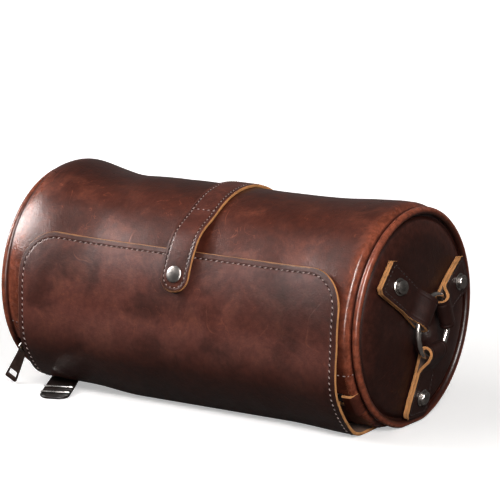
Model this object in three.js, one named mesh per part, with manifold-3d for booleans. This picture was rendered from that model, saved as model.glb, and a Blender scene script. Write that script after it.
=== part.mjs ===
// Barrel toiletry bag in leather: zipped body, front flap, snap strap and a ring at each end.
// Millimetres, +Z up, +X along the barrel, -Y is the front. The origin is under the middle of the flat base.
import * as THREE from "three";
import { mergeVertices } from "three/addons/utils/BufferGeometryUtils.js";
import Module from "manifold-3d";

const wasm = await Module();
wasm.setup();

// Clearances
const GAP = 0.3; // between neighbouring pieces
const RUN_GAP = 0.45; // round a piece that slides or turns

// Barrel: angles are measured round the axis in degrees, 0 at the front, 90 on top, -90 underneath
const BODY_LENGTH = 270.4;
const BODY_RADIUS = 72;
const BODY_LEATHER = 2.4;
const BASE_PRESS = 2; // how far the underside is pressed flat
const END_FLARE = 3.5;
const FLARE_LENGTH = 56;
const END_SHOULDER = 9.2;
const END_GROOVE = 0.5;
const LINING = 0.8;
const ROUND_STEPS = 48; // facets round the barrel

// End pieces
const PIPING_RADIUS = 2.5;
const PIPING_PROUD = 1;
const PIPING_FLOOR = 0.2;
const DISC_LEATHER = 2.2;
const DISC_DOME = 9;
const BOARD = 1.6;

// Zip on the lower front
const ZIP_ANGLE = -36.5;
const LIP_TOP_ANGLE = -18;
const LIP_EDGE_ANGLE = -32;
const LOWER_EDGE_ANGLE = -41.5;
const TAPE = 0.8;
const TAPE_WIDTH = 12;
const TOOTH_PITCH = 8;
const TOOTH_WIDTH = 4.6;
const TOOTH_LENGTH = 1.3;
const TEETH_THICK = 2.6;
const TEETH_CORD = 1.3;
const CHAIN_HALF_GAP = 0.75;
const SLIDER_LENGTH = 10;
const SLIDER_WIDTH = 10;
const SLIDER_PLATE = 1.2;
const SLIDER_FLANGE = 0.9;
const ZIP_END_COVER = 14;
const END_COVER_LAP = 6;
const STOP_LENGTH = 2;

// Puller on the slider's bail
const BAIL_WIRE = 1.4;
const BAIL_HEIGHT = 8;
const BAIL_UPPER_LEG = 2.2;
const BAIL_LOWER_LEG = -2.6;
const PULL_LENGTH = 22;
const PULL_WIDTH = 9;
const PULL_THICK = 1.6;
const PULL_NECK = 6.8;
const PULL_NECK_LENGTH = 5;
const PULL_EYE = 4;
const PULL_HANG = 6.2;
const PULL_TILT = 21;
const PULL_CORNER = 1.2;
const WINDOW_WIDTH = 4.6;
const WINDOW_LENGTH = 8;
const WINDOW_FROM_TIP = 2.6;

// Front flap
const FLAP_LEATHER = 2.2;
const FLAP_FROM_END = 11.2;
const FLAP_TOP_ANGLE = 32;
const FLAP_CORNER = 27;
const FLAP_BEND_TOP = -38;
const FLAP_SEAM_ANGLE = -67.5;
const BASE_BACK_ANGLE = -120;
const FLAP_LIFT = 1.3;
const FLAP_BULGE = 9.5;
const FLAP_HEEL = 6; // how softly it turns in under the bag
const BULGE_START_ANGLE = -2;
const BULGE_FULL_ANGLE = -30;

// Closing strap and its snap
const STRAP_WIDTH = 21;
const STRAP_THICK = 3;
const STRAP_TIP_ANGLE = 10.7;
const STRAP_TIP_RADIUS = 8;
const STRAP_BEND_ANGLE = 57.5;
const STRAP_BACK_ANGLE = 150;
const STRAP_RISE_ANGLE = 36;
const SNAP_ANGLE = 19;
const SNAP_SPACE = 2.2;
const CAP_RADIUS = 5.6;
const CAP_HEIGHT = 2.2;
const CAP_POST = 1.4;
const SOCKET_RADIUS = 5.2;
const SOCKET_BORE = 4;
const SOCKET_PLATE = 0.6;
const STUD_RADIUS = 2.2;
const STUD_NECK = 1.6;
const STUD_HEIGHT = 1.1;
const STUD_BACK = 0.5;
const STUD_BACK_RADIUS = 5;

// Rings and their riveted tabs
const RING_CENTRE_RADIUS = 21;
const RING_WIRE = 4;
const RING_DROP = 4;
const RING_CLEAR = 1.2; // from the wire to the fold and to the layer under it
const TAB_ANGLES = [26, 138, 269]; // round the ring, from the back of the bag over its top
const TAB_WIDTH = 25;
const TAB_LEATHER = 2;
const TAB_FROM_RIM = 5;
const TAB_SEAT = 0.5;
const RIVET_FROM_TAB_END = 14;
const RIVET_HEAD = 5.8;
const RIVET_FLANGE_HEIGHT = 1;
const RIVET_CROWN = 4.6;
const RIVET_CROWN_HEIGHT = 2.4;
const RIVET_SHANK = 1.7;
const RIVET_BACK = 4.5;
const RIVET_BACK_HEIGHT = 1;

// Grip tab on the floor at the lower left
const GRIP_FROM_END = 29.2;
const GRIP_TURN = 22;
const GRIP_WIDTH = 20;
const GRIP_LENGTH = 27;
const GRIP_LEATHER = 2.2;
const GRIP_FLOOR = 0.1;
const GRIP_BAR = 1.6;
const GRIP_BARS_AT = [8, 19];

// Worked-out sizes
const HALF = BODY_LENGTH / 2;
const ANGLE_STEP = 360 / ROUND_STEPS;
const WRAP_FLAT = BODY_RADIUS - BASE_PRESS;
const AXIS_HEIGHT = WRAP_FLAT + GAP + FLAP_LEATHER;
const UNDERNEATH = -90;
const FLARE_PEAK = HALF - END_SHOULDER;
const FLARE_START = FLARE_PEAK - FLARE_LENGTH;
const FLAP_HALF_WIDTH = HALF - FLAP_FROM_END;
const GRIP_X = GRIP_FROM_END - HALF;
const TAPE_OUTER = -BODY_LEATHER - GAP; // off the barrel's drawn-in end, so that the zip runs straight
const END_RADIUS = BODY_RADIUS - END_GROOVE;
const ZIP_RADIUS = END_RADIUS + TAPE_OUTER - TAPE / 2;
const LIP_HALF = FLARE_PEAK;
const DISC_RADIUS = AXIS_HEIGHT - PIPING_FLOOR - 2 * PIPING_RADIUS - GAP;
const DISC_RIM = HALF + 2 * GAP;
const PIPING_OUTER = BODY_RADIUS + PIPING_PROUD;
const TAB_OUTER_RADIUS = DISC_RADIUS - TAB_FROM_RIM;
const SLIDER_INSIDE = TEETH_THICK / 2 + GAP;
const SLIDER_OUTSIDE = SLIDER_INSIDE + SLIDER_PLATE;
const BOARD_RADIUS = ZIP_RADIUS - SLIDER_OUTSIDE - 2 * GAP;
const TAB_MID_RADIUS = (RING_CENTRE_RADIUS + TAB_OUTER_RADIUS) / 2;
const SLIDER_REST = -HALF + SLIDER_LENGTH / 2 + GAP;
const CHAIN_LEFT = SLIDER_REST + SLIDER_LENGTH / 2 + GAP;
const CHAIN_RIGHT = HALF - ZIP_END_COVER;

const bag = new THREE.Group();
const rad = THREE.MathUtils.degToRad;
const smooth = (t) => THREE.MathUtils.smoothstep(t, 0, 1);
const degreesFor = (length) => THREE.MathUtils.radToDeg(length / BODY_RADIUS);

// Materials
const finish = (color, roughness, metalness = 0) =>
  new THREE.MeshStandardMaterial({ color, roughness, metalness });
const leather = () => finish(0x4a2a20, 0.55);
const flapLeather = () => finish(0x503636, 0.5);
const fabric = () => finish(0x2a2422, 0.95);
const gunmetal = () => finish(0x3a383a, 0.35, 1);
const board = () => finish(0x6b5a48, 0.9);

function add(name, geometry, material, parent = bag) {
  const mesh = new THREE.Mesh(geometry, material);
  mesh.name = name;
  parent.add(mesh);
  return mesh;
}

// Leaves only merged positions, with the faces turned outward
function closed(geometry) {
  const bare = geometry.clone();
  bare.deleteAttribute("normal");
  bare.deleteAttribute("uv");
  const merged = mergeVertices(bare, 1e-4);
  const p = merged.getAttribute("position");
  const index = merged.getIndex().array;
  const [a, b, c] = [0, 1, 2].map(() => new THREE.Vector3());
  let volume = 0;
  for (let i = 0; i < index.length; i += 3) {
    a.fromBufferAttribute(p, index[i]);
    b.fromBufferAttribute(p, index[i + 1]);
    c.fromBufferAttribute(p, index[i + 2]);
    volume += a.dot(b.cross(c));
  }
  if (volume < 0) merged.setIndex(Array.from(index).reverse());
  return merged;
}

function solid(geometry) {
  const g = closed(geometry);
  const vertProperties = new Float32Array(g.getAttribute("position").array);
  const triVerts = new Uint32Array(g.getIndex().array);
  return new wasm.Manifold(new wasm.Mesh({ numProp: 3, vertProperties, triVerts }));
}

function geometryOf(shape) {
  const mesh = shape.getMesh();
  const g = new THREE.BufferGeometry();
  g.setAttribute("position", new THREE.BufferAttribute(new Float32Array(mesh.vertProperties), 3));
  g.setIndex(new THREE.BufferAttribute(new Uint32Array(mesh.triVerts), 1));
  return g;
}

function join(...geometries) {
  return geometryOf(geometries.map(solid).reduce((whole, piece) => whole.add(piece)));
}

function cut(geometry, ...cutters) {
  return geometryOf(cutters.map(solid).reduce((rest, cutter) => rest.subtract(cutter), solid(geometry)));
}

// The barrel's outer radius: straight, a little flared near the ends, drawn in at the seam
function barrelRadius(x) {
  const flare = smooth((Math.abs(x) - FLARE_START) / (FLARE_PEAK - FLARE_START));
  const seam = smooth((Math.abs(x) - FLARE_PEAK) / (HALF - FLARE_PEAK));
  return BODY_RADIUS + END_FLARE * flare - (END_FLARE + END_GROOVE) * seam;
}

// A point at a distance off the barrel's outer face, which is flattened underneath
function onBarrel(x, angle, offset, radius) {
  const down = -Math.sin(rad(angle));
  const round = radius(x) + offset;
  const r = down > 0 ? Math.min(round, (WRAP_FLAT + offset) / down) : round;
  return new THREE.Vector3(x, -r * Math.cos(rad(angle)), AXIS_HEIGHT + r * Math.sin(rad(angle)));
}

// A curved sheet of leather or tape between two offsets; a full turn closes on itself
function sheet({ from, to, angleSteps, across, inner, outer, radius = barrelRadius, place = onBarrel }) {
  const loop = Math.abs(to - from) === 360;
  const rows = loop ? angleSteps : angleSteps + 1;
  const columns = across(from).length;
  const xSteps = columns - 1;
  const points = [];
  for (const offset of [outer, inner])
    for (let i = 0; i < rows; i++) {
      const angle = from + ((to - from) * i) / angleSteps;
      for (const x of across(angle)) points.push(...place(x, angle, offset(angle), radius).toArray());
    }
  const at = (layer, i, j) => layer * rows * columns + (i % rows) * columns + j;
  const faces = [];
  const quad = (a, b, c, d) => faces.push(a, b, c, a, c, d);
  for (let i = 0; i < angleSteps; i++) {
    for (let j = 0; j < xSteps; j++) {
      quad(at(0, i, j), at(0, i, j + 1), at(0, i + 1, j + 1), at(0, i + 1, j));
      quad(at(1, i, j), at(1, i + 1, j), at(1, i + 1, j + 1), at(1, i, j + 1));
    }
    quad(at(0, i, 0), at(0, i + 1, 0), at(1, i + 1, 0), at(1, i, 0));
    quad(at(0, i, xSteps), at(1, i, xSteps), at(1, i + 1, xSteps), at(0, i + 1, xSteps));
  }
  for (let j = 0; j < xSteps && !loop; j++) {
    const top = angleSteps;
    quad(at(0, 0, j), at(1, 0, j), at(1, 0, j + 1), at(0, 0, j + 1));
    quad(at(0, top, j), at(0, top, j + 1), at(1, top, j + 1), at(1, top, j));
  }
  const g = new THREE.BufferGeometry();
  g.setAttribute("position", new THREE.Float32BufferAttribute(points, 3));
  g.setIndex(faces);
  return closed(g);
}

const plain = (offset) => () => offset;

// Places along the barrel where a sheet has points: its own ends and the barrel's stations between them
const SIDE_STATIONS = [FLARE_START / 2, FLARE_START, (FLARE_START + FLARE_PEAK) / 2, FLARE_PEAK,
  (FLARE_PEAK + HALF) / 2, HALF];
const STATIONS = [...SIDE_STATIONS.map((x) => -x).reverse(), 0, ...SIDE_STATIONS];
function between(x0, x1) {
  const list = [x0, ...STATIONS.filter((x) => x > x0 + 1 && x < x1 - 1), x1];
  return () => list;
}

// The same number of even steps at every angle, for a sheet whose width changes
function evenly(count, half) {
  return (angle) => Array.from({ length: count + 1 }, (_, i) => half(angle) * ((2 * i) / count - 1));
}

const steps = (from, to, step = 5) => Math.max(2, Math.ceil(Math.abs(to - from) / step));

// A block through the barrel's wall, for cutting openings
function wallBlock(x0, x1, from, to) {
  const reach = BODY_LEATHER + LINING + FLAP_BULGE;
  return sheet({ from, to, angleSteps: steps(from, to), across: between(x0, x1), inner: plain(-reach),
    outer: plain(reach) });
}

function barrelTube(half, innerOffset, outerOffset, angleSteps) {
  return sheet({ from: 0, to: 360, angleSteps, across: between(-half, half),
    inner: plain(innerOffset), outer: plain(outerOffset) });
}

// A turned solid about the X axis from a profile of [radius, x]
function turned(profile, segments) {
  const points = profile.map(([r, x]) => new THREE.Vector2(r, x));
  return closed(new THREE.LatheGeometry(points, segments).rotateZ(-Math.PI / 2));
}

function box(x0, x1, y0, y1, z0, z1) {
  const g = new THREE.BoxGeometry(x1 - x0, y1 - y0, z1 - z0);
  return g.translate((x0 + x1) / 2, (y0 + y1) / 2, (z0 + z1) / 2);
}

// A frame on the barrel: X stays, Z points straight out at the given angle and Y points up the front
function frameAt(x, angle, radius) {
  const frame = new THREE.Group();
  frame.position.set(x, -radius * Math.cos(rad(angle)), AXIS_HEIGHT + radius * Math.sin(rad(angle)));
  frame.rotation.x = Math.PI / 2 - rad(angle);
  bag.add(frame);
  return frame;
}

// Barrel wrap with the zip mouth cut through it, and its lining
function body() {
  const mouth = wallBlock(-LIP_HALF - GAP, LIP_HALF + GAP, LOWER_EDGE_ANGLE, LIP_TOP_ANGLE);
  const zipEnds = wallBlock(-HALF - GAP, HALF - ZIP_END_COVER / 2, LOWER_EDGE_ANGLE, LIP_EDGE_ANGLE);
  const wrap = barrelTube(HALF, -BODY_LEATHER, 0, ROUND_STEPS);
  add("body_wrap", cut(wrap, mouth, zipEnds), leather());
  const liningOut = -BODY_LEATHER - GAP;
  const lining = barrelTube(HALF - BOARD - LINING - 3 * GAP, liningOut - LINING, liningOut, ROUND_STEPS / 2);
  const room = wallBlock(-HALF, HALF, LOWER_EDGE_ANGLE - degreesFor(TAPE_WIDTH), LIP_TOP_ANGLE + GAP);
  add("lining_tube", cut(lining, room), fabric());
}

// The upper panel's lip, which spreads outward to open the mouth, with its tape and teeth
function zip() {
  const lipTop = LIP_TOP_ANGLE - degreesFor(GAP);
  add("zip_lip", sheet({ from: LIP_EDGE_ANGLE, to: lipTop, angleSteps: 4,
    across: between(-LIP_HALF, LIP_HALF), inner: plain(-BODY_LEATHER), outer: plain(0) }), leather());
  const nearTeeth = CHAIN_HALF_GAP + TOOTH_LENGTH + TEETH_CORD + GAP;
  const tape = (sign, x0, x1) => {
    const first = ZIP_ANGLE + sign * degreesFor(nearTeeth);
    const last = ZIP_ANGLE + sign * degreesFor(nearTeeth + TAPE_WIDTH);
    return sheet({ from: Math.min(first, last), to: Math.max(first, last), angleSteps: 3,
      across: between(x0, x1), inner: plain(TAPE_OUTER - TAPE), outer: plain(TAPE_OUTER),
      radius: () => END_RADIUS });
  };
  add("zip_tape_upper", tape(1, CHAIN_LEFT, CHAIN_RIGHT), fabric());
  add("zip_tape_lower", tape(-1, -HALF + GAP, CHAIN_RIGHT), fabric());
  chain("zip_teeth_upper", 1, CHAIN_LEFT, CHAIN_RIGHT);
  chain("zip_teeth_lower", -1, -HALF + GAP, CHAIN_RIGHT);
  const stop = frameAt(CHAIN_RIGHT + GAP, ZIP_ANGLE, ZIP_RADIUS);
  const reach = SLIDER_WIDTH / 2;
  add("zip_stop", box(0, STOP_LENGTH, -reach, reach, -TEETH_THICK / 2, TEETH_THICK / 2), gunmetal(), stop);
  const coverTop = LIP_EDGE_ANGLE - degreesFor(2 * GAP);
  const coverFrom = HALF - ZIP_END_COVER + GAP;
  const coverLow = LOWER_EDGE_ANGLE - degreesFor(END_COVER_LAP);
  add("zip_end_cover", sheet({ from: coverLow, to: coverTop, angleSteps: 3,
    across: between(coverFrom, HALF - GAP), inner: plain(GAP),
    outer: plain(GAP + FLAP_LEATHER) }), leather());
}

// A row of teeth on a cord; the side is 1 above the zip's line and -1 below it
function chain(name, side, x0, x1) {
  const back = CHAIN_HALF_GAP + TOOTH_LENGTH + TEETH_CORD;
  const root = CHAIN_HALF_GAP + TOOTH_LENGTH;
  const shape = new THREE.Shape();
  shape.moveTo(x0, back);
  shape.lineTo(x0, root);
  const count = Math.floor((x1 - x0) / TOOTH_PITCH);
  for (let i = 0; i < count; i++) {
    const x = x0 + (i + 0.5) * TOOTH_PITCH;
    shape.lineTo(x - TOOTH_WIDTH / 2, root);
    shape.lineTo(x - TOOTH_WIDTH / 2, CHAIN_HALF_GAP);
    shape.lineTo(x + TOOTH_WIDTH / 2, CHAIN_HALF_GAP);
    shape.lineTo(x + TOOTH_WIDTH / 2, root);
  }
  shape.lineTo(x1, root);
  shape.lineTo(x1, back);
  const bar = new THREE.ExtrudeGeometry(shape, { depth: TEETH_THICK, bevelEnabled: false });
  bar.translate(0, 0, -TEETH_THICK / 2);
  if (side < 0) bar.scale(1, -1, 1);
  add(name, closed(bar), gunmetal(), frameAt(0, ZIP_ANGLE, ZIP_RADIUS));
}

// Slider: two plates with side flanges and a web between the rows of teeth, and a wire bail on top
function slider() {
  const frame = frameAt(SLIDER_REST, ZIP_ANGLE, ZIP_RADIUS);
  const [half, wide] = [SLIDER_LENGTH / 2, SLIDER_WIDTH / 2];
  const [inside, outside] = [SLIDER_INSIDE, SLIDER_OUTSIDE];
  const slot = TAPE / 2 + RUN_GAP;
  const web = CHAIN_HALF_GAP - RUN_GAP;
  const pieces = [
    box(-half, half, -wide, wide, inside, outside),
    box(-half, half, -wide, wide, -outside, -inside),
    box(0, half, -web, web, -outside, outside),
  ];
  for (const side of [-1, 1])
    for (const level of [-1, 1]) {
      const [y0, y1] = [side * wide, side * (wide - SLIDER_FLANGE)].sort((a, b) => a - b);
      const [z0, z1] = [level * slot, level * outside].sort((a, b) => a - b);
      pieces.push(box(-half, half, y0, y1, z0, z1));
    }
  const bailX = -half + BAIL_WIRE;
  const low = inside + SLIDER_PLATE / 2;
  const top = BAIL_HEIGHT + BAIL_WIRE / 2;
  const r = BAIL_WIRE / 2;
  for (const leg of [BAIL_UPPER_LEG, BAIL_LOWER_LEG])
    pieces.push(box(bailX - r, bailX + r, leg - r, leg + r, low, top));
  pieces.push(box(bailX - r, bailX + r, BAIL_LOWER_LEG - r, BAIL_UPPER_LEG + r, BAIL_HEIGHT - r, top));
  add("zip_slider", join(...pieces), gunmetal(), frame);

  const eye = new THREE.Group();
  frame.updateMatrix();
  eye.position.set(bailX, BAIL_LOWER_LEG, PULL_HANG).applyMatrix4(frame.matrix);
  eye.rotation.y = rad(PULL_TILT);
  bag.add(eye);
  add("zip_puller", puller(), gunmetal(), eye);
}

// Flat puller: an eye in a narrow neck, square shoulders and a window near the tip
function puller() {
  const [neck, half, c] = [PULL_NECK / 2, PULL_WIDTH / 2, PULL_CORNER];
  const outline = new THREE.Shape();
  outline.moveTo(neck, 0);
  outline.absarc(0, 0, neck, 0, Math.PI, false);
  outline.lineTo(-neck, -PULL_NECK_LENGTH);
  outline.lineTo(-half, -PULL_NECK_LENGTH - (half - neck));
  outline.lineTo(-half, -PULL_LENGTH + c);
  outline.lineTo(-half + c, -PULL_LENGTH);
  outline.lineTo(half - c, -PULL_LENGTH);
  outline.lineTo(half, -PULL_LENGTH + c);
  outline.lineTo(half, -PULL_NECK_LENGTH - (half - neck));
  outline.lineTo(neck, -PULL_NECK_LENGTH);
  outline.holes.push(new THREE.Path().absarc(0, 0, PULL_EYE / 2, 0, 2 * Math.PI, true));
  const low = -PULL_LENGTH + WINDOW_FROM_TIP;
  const side = WINDOW_WIDTH / 2;
  const corners = [[-side, low], [-side, low + WINDOW_LENGTH], [side, low + WINDOW_LENGTH], [side, low]];
  outline.holes.push(new THREE.Path(corners.map(([x, y]) => new THREE.Vector2(x, y))));
  const flat = { depth: PULL_THICK, bevelEnabled: false, curveSegments: 6 };
  const plate = new THREE.ExtrudeGeometry(outline, flat);
  return closed(plate.translate(0, 0, -PULL_THICK / 2).rotateX(Math.PI / 2));
}

// How far the flap stands off the barrel: close on top, bowed out from the zip to the table, sewn underneath
function flapGap(angle) {
  const out = smooth((BULGE_START_ANGLE - angle) / (BULGE_START_ANGLE - BULGE_FULL_ANGLE));
  const back = smooth((FLAP_SEAM_ANGLE - angle) / (FLAP_SEAM_ANGLE - UNDERNEATH));
  const bowed = FLAP_LIFT + (FLAP_BULGE - FLAP_LIFT) * out;
  return bowed + (GAP - bowed) * back;
}

// A point of the flap at a depth outside its inner face; a soft heel joins its front to the part on the table
function onFlap(x, angle, depth) {
  const gap = flapGap(angle);
  const front = barrelRadius(x) + gap + depth;
  const down = Math.max(-Math.sin(rad(angle)), Number.EPSILON);
  const table = (WRAP_FLAT + GAP + depth) / down;
  const heel = Math.max((FLAP_HEEL * (gap - GAP)) / FLAP_BULGE, Number.EPSILON);
  const near = Math.max(0, 1 - Math.abs(front - table) / heel);
  const r = Math.min(front, table) - (heel / 4) * near ** 2;
  return new THREE.Vector3(x, -r * Math.cos(rad(angle)), AXIS_HEIGHT + r * Math.sin(rad(angle)));
}

// Half width of a sheet whose end has round corners of a radius, at an arc length in from that end
function roundedHalf(half, radius, inward) {
  const d = Math.max(0, radius - inward);
  return half - radius + Math.sqrt(radius * radius - d * d);
}

// Flap: the part that swings, the leather that bends, and the part sewn under the bag
function flap() {
  const flapHalf = (angle) => {
    const inward = rad(FLAP_TOP_ANGLE - angle) * (BODY_RADIUS + FLAP_LIFT);
    return roundedHalf(FLAP_HALF_WIDTH, FLAP_CORNER, inward);
  };
  const hole = cylinderThrough(SNAP_ANGLE, STUD_NECK + GAP);
  const layers = { inner: plain(0), outer: plain(FLAP_LEATHER), place: onFlap };
  const main = sheet({ from: FLAP_BEND_TOP, to: FLAP_TOP_ANGLE, angleSteps: 20, across: evenly(10, flapHalf),
    ...layers });
  add("front_flap", cut(main, hole), flapLeather());
  const split = degreesFor(GAP);
  const wide = between(-FLAP_HALF_WIDTH, FLAP_HALF_WIDTH);
  add("flap_bend", sheet({ from: FLAP_SEAM_ANGLE + split, to: FLAP_BEND_TOP - split, angleSteps: 10,
    across: wide, ...layers }), flapLeather());
  const baseSteps = steps(BASE_BACK_ANGLE, FLAP_SEAM_ANGLE, ANGLE_STEP);
  add("base_panel", sheet({ from: BASE_BACK_ANGLE, to: FLAP_SEAM_ANGLE, angleSteps: baseSteps,
    across: wide, ...layers }), flapLeather());
}

// A round cutter straight out through the front at an angle
function cylinderThrough(angle, radius) {
  const reach = 2 * FLAP_BULGE + STRAP_THICK;
  const pin = new THREE.CylinderGeometry(radius, radius, 2 * reach, 14).rotateX(Math.PI / 2);
  const frame = frameAt(0, angle, BODY_RADIUS);
  frame.updateMatrix();
  bag.remove(frame);
  return pin.applyMatrix4(frame.matrix);
}

// How far the strap's inner face stands off: on the barrel where sewn, over the flap and the snap at its tip
function strapInner(angle) {
  const over = FLAP_LIFT + FLAP_LEATHER + SNAP_SPACE;
  const rise = smooth((STRAP_BEND_ANGLE - angle) / (STRAP_BEND_ANGLE - STRAP_RISE_ANGLE));
  return GAP + (over - GAP) * rise;
}

function strap() {
  const half = STRAP_WIDTH / 2;
  const tipHalf = (angle) => {
    const inward = rad(angle - STRAP_TIP_ANGLE) * (BODY_RADIUS + STRAP_THICK);
    return roundedHalf(half, STRAP_TIP_RADIUS, inward);
  };
  const outer = (angle) => strapInner(angle) + STRAP_THICK;
  const tab = sheet({ from: STRAP_TIP_ANGLE, to: STRAP_BEND_ANGLE, angleSteps: 14, across: evenly(4, tipHalf),
    inner: strapInner, outer });
  add("strap_tab", cut(tab, cylinderThrough(SNAP_ANGLE, CAP_POST + GAP)), leather());
  const sewnFrom = STRAP_BEND_ANGLE + degreesFor(GAP);
  add("strap_top", sheet({ from: sewnFrom, to: STRAP_BACK_ANGLE,
    angleSteps: steps(sewnFrom, STRAP_BACK_ANGLE), across: between(-half, half), inner: plain(GAP),
    outer: plain(GAP + STRAP_THICK) }), leather());
}

// Press snap: the cap and socket ride on the strap, the stud on the flap
function snap() {
  const frame = frameAt(0, SNAP_ANGLE, BODY_RADIUS);
  const lathe = (profile) => {
    const points = profile.map(([r, h]) => new THREE.Vector2(r, h));
    return closed(new THREE.LatheGeometry(points, 18).rotateX(Math.PI / 2));
  };
  const flapIn = FLAP_LIFT;
  const flapOut = FLAP_LIFT + FLAP_LEATHER;
  const strapIn = flapOut + SNAP_SPACE;
  const strapOut = strapIn + STRAP_THICK;
  const seat = strapOut + GAP;
  const postEnd = strapIn - GAP - SOCKET_PLATE;
  add("snap_cap", lathe([[0, postEnd], [CAP_POST, postEnd], [CAP_POST, seat], [CAP_RADIUS, seat],
    [CAP_RADIUS, seat + CAP_HEIGHT * 0.35], [CAP_RADIUS * 0.8, seat + CAP_HEIGHT * 0.75],
    [CAP_RADIUS * 0.4, seat + CAP_HEIGHT * 0.97], [0, seat + CAP_HEIGHT]]), gunmetal(), frame);
  const plateTop = strapIn - GAP;
  const plateLow = plateTop - SOCKET_PLATE;
  const rim = flapOut + GAP;
  const bore = CAP_POST + GAP;
  add("snap_socket", lathe([[bore, plateLow], [SOCKET_BORE, plateLow], [SOCKET_BORE, rim],
    [SOCKET_RADIUS, rim], [SOCKET_RADIUS, plateTop], [bore, plateTop], [bore, plateLow]]), gunmetal(), frame);
  const backOut = flapIn - GAP;
  const backIn = backOut - STUD_BACK;
  const head = flapOut + STUD_HEIGHT;
  add("snap_stud", lathe([[0, backIn], [STUD_BACK_RADIUS, backIn], [STUD_BACK_RADIUS, backOut],
    [STUD_NECK, backOut], [STUD_NECK, flapOut + GAP], [STUD_RADIUS, flapOut + 2 * GAP],
    [STUD_RADIUS, head - GAP], [STUD_NECK, head], [0, head]]), gunmetal(), frame);
}

// End of the bag, drawn for the right-hand end; the other is the same piece turned round
const domeAt = (r) => DISC_DOME * (1 - (r / DISC_RADIUS) ** 2);

function domedDisc(radius, rim, thick) {
  const rings = [0, 0.4, 0.7, 0.88, 1].map((share) => share * radius);
  const outside = rings.map((r) => [r, rim + thick + domeAt(r)]);
  const inside = rings.map((r) => [r, rim + domeAt(r)]).reverse();
  return turned([...outside, ...inside], 30);
}

// Welt cord in the end seam, flattened where the bag rests
function piping() {
  const [around, sides] = [ROUND_STEPS, 6];
  const x0 = HALF + GAP + PIPING_RADIUS;
  const lowest = AXIS_HEIGHT - PIPING_FLOOR - PIPING_RADIUS;
  const points = [];
  for (let i = 0; i < around; i++) {
    const angle = rad(i * ANGLE_STEP);
    const down = -Math.sin(angle);
    const round = PIPING_OUTER - PIPING_RADIUS;
    const r = down > 0 ? Math.min(round, lowest / down) : round;
    for (let k = 0; k < sides; k++) {
      const turn = (2 * Math.PI * k) / sides;
      const out = r + PIPING_RADIUS * Math.cos(turn);
      points.push(x0 + PIPING_RADIUS * Math.sin(turn), -out * Math.cos(angle), out * Math.sin(angle));
    }
  }
  const faces = [];
  const at = (i, k) => (i % around) * sides + (k % sides);
  for (let i = 0; i < around; i++)
    for (let k = 0; k < sides; k++)
      faces.push(at(i, k), at(i + 1, k), at(i + 1, k + 1), at(i, k), at(i + 1, k + 1), at(i, k + 1));
  const g = new THREE.BufferGeometry();
  g.setAttribute("position", new THREE.Float32BufferAttribute(points, 3));
  g.setIndex(faces);
  return closed(g);
}

// Height of every tab's seat over the disc's rim where it reaches the ring
const fromRing = TAB_MID_RADIUS - RING_CENTRE_RADIUS;
const seatAtRing = domeAt(TAB_MID_RADIUS) + ((2 * DISC_DOME * TAB_MID_RADIUS) / DISC_RADIUS ** 2) * fromRing;
const ringHeight = TAB_SEAT + TAB_LEATHER + RING_CLEAR + RING_WIRE / 2;
const ringPlane = DISC_RIM + DISC_LEATHER + seatAtRing + ringHeight;

// Seat of one tab: on the disc's outer face at the tab's middle, tilted to meet the ring
function tabSeat(angle) {
  const y = TAB_MID_RADIUS * Math.cos(angle);
  const z = TAB_MID_RADIUS * Math.sin(angle) - RING_DROP;
  const height = domeAt(Math.hypot(y, z));
  const seat = new THREE.Group();
  const turn = new THREE.Group();
  turn.position.set(DISC_RIM + DISC_LEATHER + height, y, z);
  turn.rotation.x = angle;
  const tilt = Math.atan((seatAtRing - height) / fromRing);
  seat.rotation.z = tilt;
  turn.add(seat);
  return { turn, seat, tilt };
}

// Folded tab: Y runs outward along the disc, X straight off it; the fold goes round the ring's wire
function ringTab(tilt) {
  const wire = -fromRing / Math.cos(tilt) - ringHeight * Math.sin(tilt);
  const lean = Math.sqrt(1 - (TAB_WIDTH / 2 / RING_CENTRE_RADIUS) ** 2);
  const sag = RING_CENTRE_RADIUS * (1 - lean);
  const room = RING_WIRE + RING_CLEAR + 2 * RUN_GAP;
  const [inR, outR] = [room / 2, room / 2 + TAB_LEATHER];
  const middle = TAB_SEAT + outR;
  const foldY = wire - sag - RING_WIRE / 2 / lean - RING_CLEAR + inR;
  const openY = wire + RING_WIRE / 2 + RUN_GAP;
  const joinY = openY + room;
  const sewn = TAB_SEAT + 2 * TAB_LEATHER;
  const end = TAB_OUTER_RADIUS - TAB_MID_RADIUS;
  const outline = new THREE.Shape();
  outline.moveTo(end, TAB_SEAT);
  outline.lineTo(end, sewn);
  outline.lineTo(joinY + TAB_LEATHER, sewn);
  outline.lineTo(openY, middle + outR);
  outline.lineTo(foldY, middle + outR);
  outline.absarc(foldY, middle, outR, Math.PI / 2, (3 * Math.PI) / 2, false);
  const hole = new THREE.Path();
  hole.moveTo(joinY, middle - inR);
  hole.lineTo(openY, middle + inR);
  hole.lineTo(foldY, middle + inR);
  hole.absarc(foldY, middle, inR, Math.PI / 2, (3 * Math.PI) / 2, false);
  outline.holes.push(hole);
  const flat = { depth: TAB_WIDTH, bevelEnabled: false, curveSegments: 8 };
  const strip = new THREE.ExtrudeGeometry(outline, flat);
  strip.translate(0, 0, -TAB_WIDTH / 2);
  return closed(strip.applyMatrix4(new THREE.Matrix4().makeBasis(
    new THREE.Vector3(0, 1, 0), new THREE.Vector3(1, 0, 0), new THREE.Vector3(0, 0, 1))));
}

const rivetY = TAB_OUTER_RADIUS - RIVET_FROM_TAB_END - TAB_MID_RADIUS;

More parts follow.
